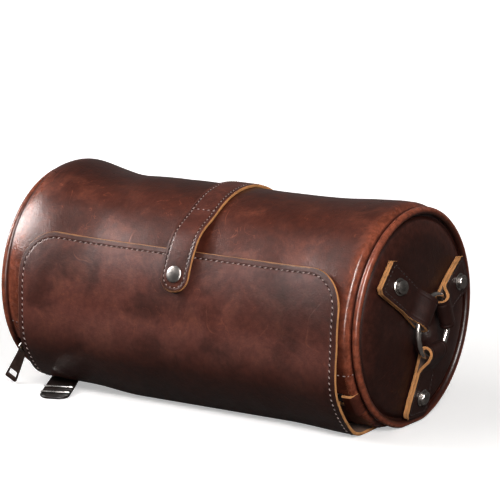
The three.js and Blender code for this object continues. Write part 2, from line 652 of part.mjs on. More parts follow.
// Rivet: stepped head on the tab, shank through tab, disc and board, and a flat back
function rivet() {
  const seat = TAB_SEAT + 2 * TAB_LEATHER + GAP;
  const crown = seat + RIVET_FLANGE_HEIGHT + RIVET_CROWN_HEIGHT;
  const back = -DISC_LEATHER - BOARD - 3 * GAP;
  return turned([[0, back - RIVET_BACK_HEIGHT], [RIVET_BACK, back - RIVET_BACK_HEIGHT], [RIVET_BACK, back],
    [RIVET_SHANK, back], [RIVET_SHANK, seat], [RIVET_HEAD, seat], [RIVET_HEAD, seat + RIVET_FLANGE_HEIGHT],
    [RIVET_CROWN, seat + RIVET_FLANGE_HEIGHT], [RIVET_CROWN, crown - 2 * GAP], [RIVET_CROWN - 2 * GAP, crown],
    [0, crown]], 14).translate(0, rivetY, 0);
}

function rivetHole() {
  const reach = 4 * (DISC_LEATHER + BOARD + TAB_LEATHER);
  const pin = new THREE.CylinderGeometry(RIVET_SHANK + GAP, RIVET_SHANK + GAP, 2 * reach, 12);
  return pin.rotateZ(Math.PI / 2).translate(0, rivetY, 0);
}

function endOfBag(side, turn) {
  const end = new THREE.Group();
  end.position.z = AXIS_HEIGHT;
  end.rotation.z = turn;
  bag.add(end);
  const seats = [];
  for (const angle of TAB_ANGLES) {
    seats.push(tabSeat(turn === 0 ? rad(angle) : Math.PI - rad(angle)));
  }
  const holes = seats.map(({ turn: outer, seat }) => {
    outer.updateMatrixWorld(true);
    return rivetHole().applyMatrix4(seat.matrixWorld);
  });
  add("end_disc_" + side, cut(domedDisc(DISC_RADIUS, DISC_RIM, DISC_LEATHER), ...holes), leather(), end);
  const boardRim = DISC_RIM - GAP - BOARD;
  add("end_board_" + side, cut(domedDisc(BOARD_RADIUS, boardRim, BOARD), ...holes), board(), end);
  const liningX = boardRim - GAP - LINING;
  add("end_lining_" + side, turned([[0, liningX], [BOARD_RADIUS, liningX], [BOARD_RADIUS, liningX + LINING],
    [0, liningX + LINING]], 30), fabric(), end);
  add("piping_" + side, piping(), leather(), end);
  const tabHole = rivetHole();
  seats.forEach(({ turn: outer, seat, tilt }, i) => {
    end.add(outer);
    add("ring_tab_" + side + "_" + (i + 1), cut(ringTab(tilt), tabHole), leather(), seat);
    add("rivet_" + side + "_" + (i + 1), rivet(), gunmetal(), seat);
  });
  const hoop = new THREE.TorusGeometry(RING_CENTRE_RADIUS, RING_WIRE / 2, 8, 32).rotateY(Math.PI / 2);
  add("ring_" + side, closed(hoop), gunmetal(), end).position.set(ringPlane, 0, -RING_DROP);
}

// The point where the flap's outer face rises past a height over the table
function heelAt(x, height) {
  let angle = FLAP_SEAM_ANGLE;
  while (onFlap(x, angle, FLAP_LEATHER).z < height) angle += 0.1;
  return onFlap(x, angle, FLAP_LEATHER);
}

// Grip tab lying at the flap's heel, with two bars across it
function grip() {
  const place = new THREE.Group();
  const top = GRIP_FLOOR + GRIP_LEATHER;
  const heel = heelAt(GRIP_X, top);
  place.position.set(GRIP_X, heel.y - (GRIP_WIDTH / 2) * Math.sin(rad(GRIP_TURN)), 0);
  place.rotation.z = rad(GRIP_TURN);
  bag.add(place);
  const profile = new THREE.Shape();
  profile.moveTo(0, GRIP_FLOOR);
  profile.lineTo(0, top);
  profile.lineTo(GRIP_LENGTH - GRIP_LEATHER / 2, top);
  profile.absarc(GRIP_LENGTH - GRIP_LEATHER / 2, GRIP_FLOOR + GRIP_LEATHER / 2, GRIP_LEATHER / 2, Math.PI / 2,
    -Math.PI / 2, true);
  const flat = { depth: GRIP_WIDTH, bevelEnabled: false, curveSegments: 4 };
  const strip = new THREE.ExtrudeGeometry(profile, flat);
  strip.translate(0, 0, -GRIP_WIDTH / 2);
  const frontward = new THREE.Matrix4().makeBasis(
    new THREE.Vector3(0, -1, 0), new THREE.Vector3(0, 0, 1), new THREE.Vector3(-1, 0, 0));
  add("grip_tab", closed(strip.applyMatrix4(frontward)), leather(), place);
  GRIP_BARS_AT.forEach((at, i) => {
    const half = GRIP_WIDTH / 2;
    const bar = box(-half, half, -at - GRIP_BAR / 2, -at + GRIP_BAR / 2, top + GAP, top + GAP + GRIP_BAR / 2);
    add("grip_bar_" + (i + 1), bar, gunmetal(), place);
  });
}

body();
zip();
slider();
flap();
strap();
snap();
endOfBag("right", 0);
endOfBag("left", Math.PI);
grip();

export default bag;
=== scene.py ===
"""Looks of a barrel toiletry bag in oiled leather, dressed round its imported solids."""

import math
from contextlib import contextmanager

import bmesh
import bpy
import numpy as np
from bpy.props import FloatProperty, FloatVectorProperty, PointerProperty
from mathutils import Matrix, Vector, kdtree, noise


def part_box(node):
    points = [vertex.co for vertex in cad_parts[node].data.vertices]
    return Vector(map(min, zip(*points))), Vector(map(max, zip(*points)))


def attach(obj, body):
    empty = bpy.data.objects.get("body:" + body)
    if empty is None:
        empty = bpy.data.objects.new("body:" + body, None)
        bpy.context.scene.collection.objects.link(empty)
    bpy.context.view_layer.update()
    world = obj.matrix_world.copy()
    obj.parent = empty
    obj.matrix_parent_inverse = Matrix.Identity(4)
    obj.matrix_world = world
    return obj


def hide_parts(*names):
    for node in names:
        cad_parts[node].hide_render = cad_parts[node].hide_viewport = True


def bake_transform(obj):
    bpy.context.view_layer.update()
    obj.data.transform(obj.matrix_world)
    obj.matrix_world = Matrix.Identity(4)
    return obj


bl_info = {
    "name": "Barrel toiletry bag",
    "version": (1, 0, 0),
    "blender": (4, 5, 0),
    "location": "View3D > Sidebar > Toiletry bag",
    "description": "Dresses a barrel toiletry bag in oiled leather, stitching and dark metal",
    "category": "Object",
}

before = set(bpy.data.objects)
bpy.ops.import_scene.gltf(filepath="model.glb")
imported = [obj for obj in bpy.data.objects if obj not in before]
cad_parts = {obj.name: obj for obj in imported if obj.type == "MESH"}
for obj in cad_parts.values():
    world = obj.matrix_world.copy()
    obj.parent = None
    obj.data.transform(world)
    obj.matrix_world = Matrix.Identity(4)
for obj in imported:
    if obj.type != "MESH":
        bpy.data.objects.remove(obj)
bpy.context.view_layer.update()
WRAP_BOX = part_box("body_wrap")
MM = 0.001


# Sizes and colours that a user would change


def length(name, millimetres, description):
    return FloatProperty(name=name, description=description, default=millimetres * MM, min=0, precision=5,
                         unit="LENGTH")


def turn(name, degrees, description):
    return FloatProperty(name=name, description=description, default=math.radians(degrees), subtype="ANGLE")


def tint(name, rgb, description):
    return FloatVectorProperty(name=name, description=description, default=rgb, size=3, min=0, max=1,
                               subtype="COLOR")


class BagSizes(bpy.types.PropertyGroup):
    half_length: length("Half length", WRAP_BOX[1].x / MM, "Middle of the barrel to its end seam")
    radius: length("Barrel radius", 72, "Outside of the leather wrap at mid length")
    axis_height: length("Axis height", 72.5, "Barrel axis over the table")
    base_flat: length("Flat base", 70, "Barrel axis down to the pressed underside of the wrap")
    flare: length("End flare", 3.5, "How far the wrap swells towards its ends")
    flare_start: length("Flare start", 70, "Mid length to where the swelling starts")
    flare_peak: length("Flare peak", 126, "Mid length to the fullest ring of the wrap")
    end_groove: length("End groove", 2.0, "How far the wrap dips at the end seam")
    swell: length("Shoulder swell", 4.6, "How far the left shoulder stands up on top")
    leather: length("Wrap leather", 2.4, "Thickness of the wrap")
    ripple: length("Leather ripple", 0.45, "Height of the slow unevenness in the hide")
    lip_half: length("Lip half length", 126.15, "Mid length to the end of the zip lip")
    flap_half: length("Flap half width", 124, "Half the width of the front flap")
    flap_corner: length("Flap corner", 27, "Radius of the upper corners of the flap")
    flap_leather: length("Flap leather", 2.2, "Thickness of the flap")
    flap_lift: length("Flap lift", 1.3, "Gap between the flap and the barrel at the top of the flap")
    flap_bulge: length("Flap bulge", 9.5, "Gap between the flap and the barrel in front of the zip")
    flap_top: turn("Flap top", 32, "Angle of the upper edge of the flap")
    flap_back: turn("Base back", -120, "Angle of the rear edge of the base panel")
    strap_width: length("Strap width", 21, "Width of the closing strap")
    strap_leather: length("Strap leather", 2.2, "Thickness of the doubled strap where its edge is pressed")
    strap_tip: turn("Strap tip", 10.7, "Angle of the tip of the closing strap")
    strap_back: turn("Strap back", 150, "Angle where the strap ends behind the bag")
    stitch_pitch: length("Stitch pitch", 4.1, "Distance from stitch to stitch")
    stitch_inset: length("Stitch inset", 4.0, "Flap edge to its row of stitches")
    thread: length("Thread radius", 0.39, "Radius of the sewing thread")
    tooth_pitch: length("Zip tooth pitch", 2.5, "Distance from tooth to tooth")
    tab_width: length("Ring tab width", 25, "Width of the leather tabs that hold the rings")
    tab_leather: length("Ring tab leather", 2, "Thickness of one layer of the tabs")
    ring_radius: length("Ring radius", 21, "Middle of the ring to the middle of its wire")
    ring_wire: length("Ring wire", 4, "Diameter of the ring's wire")


class BagColours(bpy.types.PropertyGroup):
    wrap: tint("Wrap", (0.086, 0.0205, 0.0115), "Oiled leather of the barrel")
    flap: tint("Flap", (0.118, 0.033, 0.023), "Oiled leather of the flap")
    strap: tint("Strap", (0.098, 0.026, 0.017), "Oiled leather of the closing strap")
    disc: tint("End disc", (0.024, 0.0068, 0.0045), "Darker leather of the end discs and ring tabs")
    pulled: tint("Pulled up", (0.22, 0.062, 0.035), "Leather lightened where it is stretched or rubbed")
    # Lighter leather for the barrel's ends and the piping, used for both rubbing and painted light
    rubbed: tint("Rubbed and lit ends", (0.38, 0.10, 0.052), "Leather of the barrel lightened round its ends")
    # Oil-darkened leather in the clouds and cut edges, and the colour of the painted shade on the flap, barrel, piping
    # and discs
    shaded: tint("Shaded", (0.026, 0.006, 0.0035), "Leather darkened by oil")
    raw_edge: tint("Raw edge", (0.72, 0.33, 0.12), "Cut edge of the leather")
    suede: tint("Suede", (0.16, 0.075, 0.04), "Flesh side of the leather")
    thread: tint("Thread", (0.46, 0.34, 0.31), "Sewing thread of the flap, strap and body")
    dark_thread: tint("Dark thread", (0.02, 0.011, 0.009), "Sewing thread of the ring tabs")
    gunmetal: tint("Gunmetal", (0.17, 0.155, 0.145), "Plated fittings")
    lining: tint("Lining", (0.045, 0.036, 0.032), "Woven lining inside the bag")
    tape: tint("Zip tape", (0.03, 0.016, 0.013), "Woven tape of the zip")
    board: tint("Board", (0.20, 0.145, 0.095), "Stiffening board behind the end discs")
    rivet: tint("Rivet", (0.30, 0.27, 0.25), "Plating of the rivets")
    puller: tint("Puller", (0.06, 0.038, 0.032), "Brown-black plating of the zip puller")
    bars: tint("Bars", (0.66, 0.64, 0.61), "Bright bars of the grip tab")
    # Near-black blobs between the stitches stand for the shade inside the needle holes
    needle_hole_shade: tint("Needle hole shade", (0.012, 0.004, 0.003), "Dark holes between the stitches")
    grip: tint("Grip", (0.012, 0.009, 0.008), "Near-black leather of the grip tab")


def sizes():
    return bpy.context.scene.bag_sizes


def colours():
    return bpy.context.scene.bag_colours


# Shape of the barrel: angles in degrees round the axis, 0 at the front, 90 on top, -90 underneath


# Shoulders, which round off and dip into the end seams
SHOULDER_POWER = 3.2
SOFT_PEAK = 110 * MM
SOFT_POWER = 2.0
PARED_POWER = 1.6
SEAM_DIP = 0.5 * MM
SOFT_DIP = 0.2 * MM

# Swelling on top of the left end, and the saddle beside it
SWELL_X = -129 * MM
SWELL_LENGTH = 15 * MM
SWELL_TOP = 98
SWELL_TURN = 42
SADDLE_X = -92 * MM
SADDLE_LENGTH = 20 * MM
SADDLE_SHARE = 0.45

# Unevenness of the hides, in layers of (share, grain in millimetres, seed); none on the flat base
WRAP_WAVES = ((1.0, 38, 3.1), (0.5, 15, 8.4))
FLAP_WAVES = ((1.0, 42, 5.7), (0.4, 16, 1.9))
BASE_TURN = 32
BASE_FADE = 20

# Zip mouth and puller
ZIP_ANGLE = -36.5
ZIP_RADIUS = 68.4 * MM
LIP_TOP = -18.0
LIP_EDGE = -32.0
LOWER_EDGE = -41.5
ZIP_SLOT_END = 128.2 * MM
PULLER_EYE = (-133.5, -58.42, 26.03)
PULLER_TILT = 26.0

# Flap: its bend and seam, its soft heel, its slack left end and where it bows out
BEND_TOP = -38.0
BASE_SEAM = -67.5
FLAP_HEEL = 6 * MM
SLACK_HEEL = 26 * MM
SLACK_START = 45 * MM
SLACK_LENGTH = 75 * MM
SLACK_SHARE = 0.35
BULGE_START = -2.0
BULGE_FULL = -30.0

# Strap and snap
STRAP_BEND = 57.5
STRAP_RISE = 36.0
STRAP_TIP = 9.8 * MM
SNAP_ANGLE = 19.0
SNAP_SPACE = 2.2 * MM
SEAM_GAP = 0.3 * MM

# How far the ends stand askew, and where that starts along the barrel and out from its axis
RIGHT_LEAN = 3.8 * MM
LEFT_LEAN = 2.0 * MM
LEAN_START = 123.5 * MM
LEAN_LENGTH = 12.5 * MM
LEAN_INSIDE = 28 * MM
LEAN_FULL = 58 * MM


def smooth(t):
    t = np.clip(t, 0, 1)
    return t * t * (3 - 2 * t)


def full_turn(count):
    """Angles all the way round, in radians."""
    return np.linspace(0, 2 * math.pi, count, endpoint=False)


def downward(angle):
    """How steeply an angle points down, never quite nothing."""
    return np.maximum(-np.sin(np.radians(angle)), 1e-6)


def end_profile(x, peak, dip, power):
    """Radius along the barrel: straight, flared near the ends and rolled down at the end seam."""
    s = sizes()
    away = np.abs(x)
    flare = smooth((away - s.flare_start) / (peak - s.flare_start))
    seam = np.clip((away - peak) / (s.half_length - peak), 0, 1) ** power
    return s.radius + s.flare * flare - (s.flare + dip) * seam


def fullest_ring(x):
    """Mid length to the fullest ring of the wrap, whose left shoulder is rounder than the right one."""
    return np.where(np.asarray(x) < 0, SOFT_PEAK, sizes().flare_peak)


def barrel_radius(x):
    """Radius of the wrap's outer face."""
    left = np.asarray(x) < 0
    dip = np.where(left, SOFT_DIP, sizes().end_groove)
    return end_profile(x, fullest_ring(x), dip, np.where(left, SOFT_POWER, SHOULDER_POWER))


def backing_radius(x):
    """Radius that the wrap's inner face follows, where the leather is pared thin for the end seam."""
    return end_profile(x, fullest_ring(x), SEAM_DIP, PARED_POWER)


def round_axis(x, r, angle):
    a = np.radians(angle)
    return np.stack([x, -r * np.cos(a), sizes().axis_height + r * np.sin(a)], -1)


def on_barrel(x, angle, offset, radius=barrel_radius):
    """Points at an offset from the barrel's outer face, which is pressed flat underneath."""
    x, angle, offset = np.broadcast_arrays(x, angle, offset)
    r = np.minimum(radius(x) + offset, (sizes().base_flat + offset) / downward(angle))
    return round_axis(x, r, angle)


def ripple(points, grain, seed):
    """Slow unevenness from -1 to 1 at each point."""
    shift = Vector((seed, 2.3 * seed, 0.7 * seed))
    flat = points.reshape(-1, 3) / grain
    return np.array([noise.noise(Vector(p) + shift) for p in flat]).reshape(points.shape[:-1])


def off_the_base(angle):
    """1 on the round of the barrel and 0 on its flat base."""
    from_below = 180 - np.abs(np.mod(np.asarray(angle, float) + 90, 360) - 180)
    return smooth((from_below - BASE_TURN) / BASE_FADE)


def hide_waves(points, angle, waves):
    height = sum(share * ripple(points, grain * MM, seed) for share, grain, seed in waves)
    return sizes().ripple * height * off_the_base(angle)


def shoulder_swell(x, angle):
    """Soft swelling on top of the left end, with a saddle beside it."""
    hump = np.exp(-(((x - SWELL_X) / SWELL_LENGTH) ** 2))
    along = hump - SADDLE_SHARE * np.exp(-(((x - SADDLE_X) / SADDLE_LENGTH) ** 2))
    return sizes().swell * along * np.exp(-(((angle - SWELL_TOP) / SWELL_TURN) ** 2))


def saddle(x, angle):
    """How far the layers under the wrap sink with it."""
    return np.minimum(shoulder_swell(x, angle), 0)


def wrap_face(x, angle, depth):
    x, angle = np.broadcast_arrays(x, angle)
    waves = hide_waves(on_barrel(x, angle, 0.0), angle, WRAP_WAVES)
    return on_barrel(x, angle, depth + waves + shoulder_swell(x, angle))


def slack_end(x):
    """1 at the left end of the flap, which lies closer to the barrel, and 0 from its middle on."""
    return smooth((-np.asarray(x, float) - SLACK_START) / SLACK_LENGTH)


def flap_gap(angle, x):
    """Gap between flap and barrel: close on top, bowed out from the zip to the table, sewn underneath."""
    s = sizes()
    out = smooth((BULGE_START - angle) / (BULGE_START - BULGE_FULL))
    back = smooth((BASE_SEAM - angle) / (BASE_SEAM + 90))
    bowed = s.flap_lift + (s.flap_bulge - s.flap_lift) * out * (1 - SLACK_SHARE * slack_end(x))
    return bowed + (SEAM_GAP - bowed) * back


def on_flap(x, angle, depth):
    """Points of an even flap, with a soft heel between its front and the part on the table."""
    x, angle, depth = np.broadcast_arrays(x, angle, depth)
    gap = flap_gap(angle, x)
    front = barrel_radius(x) + gap + depth
    down = downward(angle)
    table = (sizes().base_flat + SEAM_GAP + depth) / down
    heel = np.maximum((FLAP_HEEL + SLACK_HEEL * slack_end(x)) * (gap - SEAM_GAP) / sizes().flap_bulge, 1e-9)
    near = np.maximum(0, 1 - np.abs(front - table) / heel)
    closest = np.minimum(barrel_radius(x), sizes().base_flat / down) + SEAM_GAP + depth
    return round_axis(x, np.maximum(np.minimum(front, table) - heel / 4 * near**2, closest), angle)


def flap_face(x, angle, depth):
    """Points of the flap; depth runs from 0 at its inner face to its leather's thickness outside."""
    x, angle = np.broadcast_arrays(x, angle)
    points = on_flap(x, angle, depth + hide_waves(on_flap(x, angle, 0.0), angle, FLAP_WAVES))
    points[..., 2] = np.maximum(points[..., 2], 0)
    return points


def strap_face(x, angle, depth):
    """Points of the strap, which rises from the barrel to pass over the flap and the snap."""
    s = sizes()
    over = s.flap_lift + s.flap_leather + SNAP_SPACE
    rise = smooth((STRAP_BEND - np.asarray(angle, float)) / (STRAP_BEND - STRAP_RISE))
    return on_barrel(x, angle, SEAM_GAP + (over - SEAM_GAP) * rise + depth)


def flap_angle(down):
    """Angle on the flap at a length down from its upper edge."""
    s = sizes()
    return math.degrees(s.flap_top) - np.degrees(down / (s.radius + s.flap_lift))


def flap_down(angle):
    """Length down the flap from its upper edge to an angle."""
    s = sizes()
    return math.radians(math.degrees(s.flap_top) - angle) * (s.radius + s.flap_lift)


def strap_angle(along):
    """Angle on the strap at a length from its tip."""
    s = sizes()
    return math.degrees(s.strap_tip) + np.degrees(along / (s.radius + s.strap_leather))


def strap_length():
    s = sizes()
    return (s.strap_back - s.strap_tip) * (s.radius + s.strap_leather)


def rounded_half(half, corner, inward):
    """Half width of a panel with round corners, at a length in from its end."""
    left = np.maximum(0, corner - inward)
    return half - corner + np.sqrt(np.maximum(0, corner**2 - left**2))


def corner_steps(corner, count):
    return corner * (1 - np.cos(np.linspace(0, math.pi / 2, count)))


def edge_run(half, corner, inset, sides, bends, straight):
    """A line up one side of a panel, round its end and down the other side, as x and length in from the end."""
    a = np.linspace(0, math.pi / 2, bends)
    flat = half - corner
    x = np.concatenate([np.full(len(sides), -half), -flat - corner * np.cos(a),
                        np.linspace(-flat, flat, straight)[1:-1],
                        flat + corner * np.cos(a[::-1]), np.full(len(sides), half)])
    end = inset + corner * (1 - np.sin(a))
    return x, np.concatenate([sides, end, np.full(straight - 2, inset), end[::-1], sides[::-1]])


# Meshes


def link(piece):
    bpy.context.scene.collection.objects.link(piece)
    return piece


def dress(piece, *materials):
    if piece.data.materials:
        piece.data.materials.clear()
    for material in materials:
        piece.data.materials.append(material)
    return piece


def soften(mesh, sharp_degrees=40):
    mesh.polygons.foreach_set("use_smooth", [True] * len(mesh.polygons))
    mesh.set_sharp_from_angle(angle=math.radians(sharp_degrees))
    mesh.update()


def note(mesh, name, values):
    attribute = mesh.attributes.new(name, "FLOAT", "POINT")
    attribute.data.foreach_set("value", np.asarray(values, np.float32).ravel())


def unit(vector):
    return vector / max(np.linalg.norm(vector), 1e-12)


def moved(place, grid):
    return np.array([place @ Vector(p) for p in grid.reshape(-1, 3)]).reshape(grid.shape)


@contextmanager
def edited(mesh):
    shape = bmesh.new()
    shape.from_mesh(mesh)
    yield shape
    shape.to_mesh(mesh)
    shape.free()


def drop_loose(mesh):
    with edited(mesh) as shape:
        bmesh.ops.delete(shape, geom=[v for v in shape.verts if not v.link_faces], context="VERTS")


def outward_faces(mesh, merge=1e-7):
    with edited(mesh) as shape:
        bmesh.ops.remove_doubles(shape, verts=shape.verts, dist=merge)
        bmesh.ops.recalc_face_normals(shape, faces=shape.faces)


# Steps of a rounded cut edge from face to face, and the edge distance that stands for no cut edge near
RIM_STEPS = (0.22, 0.5, 0.78)
FAR = 1.0


def grid_quads(outer, inner, closed, keep):
    """Quads of the outer grid, wound to face away from the inner one."""
    rows, columns = outer.shape[:2]
    quads = []
    for i in range(rows if closed else rows - 1):
        k = (i + 1) % rows
        for j in range(columns - 1):
            if keep is None or keep[i, j]:
                quads.append((i * columns + j, i * columns + j + 1, k * columns + j + 1, k * columns + j))
    tops, lows = outer.reshape(-1, 3), inner.reshape(-1, 3)
    a, b, c, _ = quads[len(quads) // 2]
    if np.dot(np.cross(tops[b] - tops[a], tops[c] - tops[a]), tops[a] - lows[a]) < 0:
        quads = [q[::-1] for q in quads]
    return quads


def rim_of(quads, tops, lows):
    """Open sides of the quads, and the way straight out of the sheet at each point of them."""
    sides = {(q[k], q[(k + 1) % 4]) for q in quads for k in range(4)}
    rim = sorted(e for e in sides if (e[1], e[0]) not in sides)
    outward = {}
    for a, b in rim:
        away = unit(np.cross(tops[b] - tops[a], tops[a] - lows[a]))
        for v in (a, b):
            outward[v] = outward.get(v, 0) + away
    return rim, {v: unit(away) for v, away in outward.items()}


def sheet_piece(name, outer, inner, closed=False, keep=None, rounding=0.25, joined=None, wear_and_painted_light=None):
    """A sheet of leather or cloth between two grids of points, with a rounded cut edge all round.

    Slot 0 is the outer face, slot 1 the cut edge and slot 2 the inner face. The edge attribute holds the
    distance to the nearest cut edge, apart from those that the joined test leaves out; the corner between
    face and cut edge itself reads as far from it."""
    count = outer.shape[0] * outer.shape[1]
    tops, lows = outer.reshape(-1, 3), inner.reshape(-1, 3)
    quads = grid_quads(outer, inner, closed, keep)
    rim, outward = rim_of(quads, tops, lows)
    free = {v: joined is None or not joined(tops[v]) for v in outward}
    tree = kdtree.KDTree(len(outward))
    points, chain = [*tops, *lows], {}
    for v, away in outward.items():
        bulge = np.linalg.norm(tops[v] - lows[v]) * (rounding if free[v] else 0)
        chain[v] = [v]
        for f in RIM_STEPS:
            chain[v].append(len(points))
            points.append(tops[v] * (1 - f) + lows[v] * f + away * bulge * math.sin(math.pi * f))
        chain[v].append(count + v)
        if free[v]:
            tree.insert(Vector(tops[v]), v)
    tree.balance()
    faces = list(quads) + [tuple(count + v for v in q[::-1]) for q in quads]
    slots = [0] * len(quads) + [2] * len(quads)
    for a, b in rim:
        for k in range(len(RIM_STEPS) + 1):
            faces.append((chain[b][k], chain[a][k], chain[a][k + 1], chain[b][k + 1]))
            slots.append(1)
    mesh = bpy.data.meshes.new(name)
    mesh.from_pydata([tuple(p) for p in points], [], faces)
    mesh.polygons.foreach_set("material_index", slots)
    reach = [tree.find(Vector(p))[2] or FAR for p in tops]
    # The wear attribute: rubbing, and painted light and shade
    rubbed = np.zeros(count) if wear_and_painted_light is None else np.asarray(wear_and_painted_light, float).ravel()
    extra = [v for v in chain for _ in RIM_STEPS]
    note(mesh, "edge", np.concatenate([reach, reach, np.zeros(len(extra))]))
    note(mesh, "wear_and_painted_light", np.concatenate([rubbed, rubbed, rubbed[extra]]))
    drop_loose(mesh)
    soften(mesh)
    return link(bpy.data.objects.new(name, mesh))


def cord_piece(name, centres, out, sign, radius, sides, wear_and_painted_light=None):
    """A closed cord round the X axis, whose section turns from each outward direction towards X times the sign."""
    rings = len(out)
    along = np.array([sign, 0.0, 0.0])
    points = []
    for centre, first in zip(centres, out):
        for t in full_turn(sides):
            points.append(centre + radius * (math.cos(t) * first + math.sin(t) * along))
    at = lambda i, k: (i % rings) * sides + k % sides
    faces = [(at(i, k), at(i + 1, k), at(i + 1, k + 1), at(i, k + 1)) for i in range(rings) for k in range(sides)]
    mesh = bpy.data.meshes.new(name)
    mesh.from_pydata([tuple(p) for p in points], [], faces)
    outward_faces(mesh)
    note(mesh, "edge", np.full(len(points), FAR))
    note(mesh, "wear_and_painted_light", np.zeros(len(points)) if wear_and_painted_light is None else np.tile(wear_and_painted_light, rings))
    soften(mesh, 80)
    return link(bpy.data.objects.new(name, mesh))


def turned_mesh(name, profile, segments=48):
    """A lathe form about +Z from a profile of (radius, height) in millimetres."""
    points, faces = [], []
    for r, h in profile:
        for t in full_turn(segments):
            points.append((r * MM * math.cos(t), r * MM * math.sin(t), h * MM))
    for i in range(len(profile) - 1):
        for k in range(segments):
            n = (k + 1) % segments
            faces.append((i * segments + k, i * segments + n, (i + 1) * segments + n, (i + 1) * segments + k))
    mesh = bpy.data.meshes.new(name)
    mesh.from_pydata(points, [], faces)
    outward_faces(mesh)
    soften(mesh, 35)
    return mesh


def rounded(corners, radius, steps=5):
    """A closed outline with each corner cut by a quadratic curve."""
    points = []
    for i, corner in enumerate(corners):
        corner = np.array(corner)
        before, after = np.array(corners[i - 1]), np.array(corners[(i + 1) % len(corners)])
        reach = [min(radius, np.linalg.norm(n - corner) / 2) / np.linalg.norm(n - corner) for n in (before, after)]
        first, last = corner + (before - corner) * reach[0], corner + (after - corner) * reach[1]
        for t in np.linspace(0, 1, steps):
            points.append(tuple((1 - t) ** 2 * first + 2 * t * (1 - t) * corner + t**2 * last))
    return points


def evaluated_mesh(piece):
    graph = bpy.context.evaluated_depsgraph_get()
    return bpy.data.meshes.new_from_object(piece.evaluated_get(graph), depsgraph=graph)


def plate_mesh(name, outlines, thick, bevel):
    """A flat plate in the XY plane from outlines in millimetres, the first round the others, with broken edges."""
    curve = bpy.data.curves.new(name, "CURVE")
    curve.dimensions = "2D"
    curve.fill_mode = "BOTH"
    curve.extrude = (thick / 2 - bevel) * MM
    curve.bevel_depth = bevel * MM
    curve.bevel_resolution = 2
    curve.offset = -bevel * MM
    for outline in outlines:
        spline = curve.splines.new("POLY")
        spline.points.add(len(outline) - 1)
        for point, (x, y) in zip(spline.points, outline):
            point.co = (x * MM, y * MM, 0, 1)
        spline.use_cyclic_u = True
    source = link(bpy.data.objects.new(name, curve))
    mesh = evaluated_mesh(source)
    bpy.data.objects.remove(source)
    outward_faces(mesh, 1e-6)
    soften(mesh, 35)
    return mesh


def placed(name, mesh, place):
    mesh.transform(place)
    return link(bpy.data.objects.new(name, mesh))


def bevelled_copy(name, node, width):
    """The solid of a CAD node with its sharp edges broken."""
    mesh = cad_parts[node].data.copy()
    mesh.name = name
    with edited(mesh) as shape:
        bmesh.ops.remove_doubles(shape, verts=shape.verts, dist=1e-6)
        bmesh.ops.dissolve_limit(shape, angle_limit=math.radians(1), verts=shape.verts, edges=shape.edges)
        sharp = [e for e in shape.edges if e.is_manifold and e.calc_face_angle(0) > math.radians(30)]
        bmesh.ops.bevel(shape, geom=sharp, offset=width, segments=2, profile=0.5, affect="EDGES",
                        clamp_overlap=True)
        bmesh.ops.triangulate(shape, faces=[f for f in shape.faces if len(f.verts) > 4])
    mesh.materials.clear()
    mesh.polygons.foreach_set("material_index", [0] * len(mesh.polygons))
    soften(mesh, 32)
    return link(bpy.data.objects.new(name, mesh))


def out_of_barrel(angle, radius):
    """A frame at mid length on the barrel: Z points straight out, Y up the front."""
    a = math.radians(angle)
    spot = Matrix.Translation((0, -radius * math.cos(a), sizes().axis_height + radius * math.sin(a)))
    return spot @ Matrix.Rotation(math.pi / 2 - a, 4, "X")


# Geometry Nodes for what repeats


def tree_with(name, inputs):
    tree = bpy.data.node_groups.new(name, "GeometryNodeTree")
    tree.interface.new_socket("Path", in_out="INPUT", socket_type="NodeSocketGeometry")
    for label, kind, default in inputs:
        socket = tree.interface.new_socket(label, in_out="INPUT", socket_type=kind)
        if default is not None:
            socket.default_value = default
    tree.interface.new_socket("Result", in_out="OUTPUT", socket_type="NodeSocketGeometry")
    wiring = Wiring(tree)
    return tree, wiring, wiring.add("NodeGroupInput").outputs


def out_attribute(wiring):
    return wiring.add("GeometryNodeInputNamedAttribute", {"Name": "out"},
                      data_type="FLOAT_VECTOR").outputs["Attribute"]


def spaced_along(wiring, given):
    """Points at an even pitch along the path, and a rotation with X along it and Z along its out attribute."""
    curve = wiring.add("GeometryNodeMeshToCurve", {"Mesh": given["Path"]})
    spaced = wiring.add("GeometryNodeResampleCurve", {"Curve": curve.outputs[0], "Length": given["Pitch"]},
                        mode="LENGTH")
    tangent = wiring.add("GeometryNodeInputTangent").outputs[0]
    along = wiring.add("FunctionNodeAlignRotationToVector", {"Vector": tangent}, axis="X")
    upright = wiring.add("FunctionNodeAlignRotationToVector", {"Rotation": along.outputs[0],
                         "Vector": out_attribute(wiring)}, axis="Z", pivot_axis="X")
    return spaced.outputs[0], upright.outputs[0]


def close_tree(tree, wiring, material, **instances):
    """Instances on points, made real and given their material."""
    repeated = wiring.add("GeometryNodeInstanceOnPoints", instances)
    real = wiring.add("GeometryNodeRealizeInstances", {"Geometry": repeated.outputs[0]})
    shaded = wiring.add("GeometryNodeSetShadeSmooth", {"Geometry": real.outputs[0]})
    done = wiring.add("GeometryNodeSetMaterial", {"Geometry": shaded.outputs[0], "Material": material})
    wiring.add("NodeGroupOutput", {0: done.outputs[0]})
    return tree


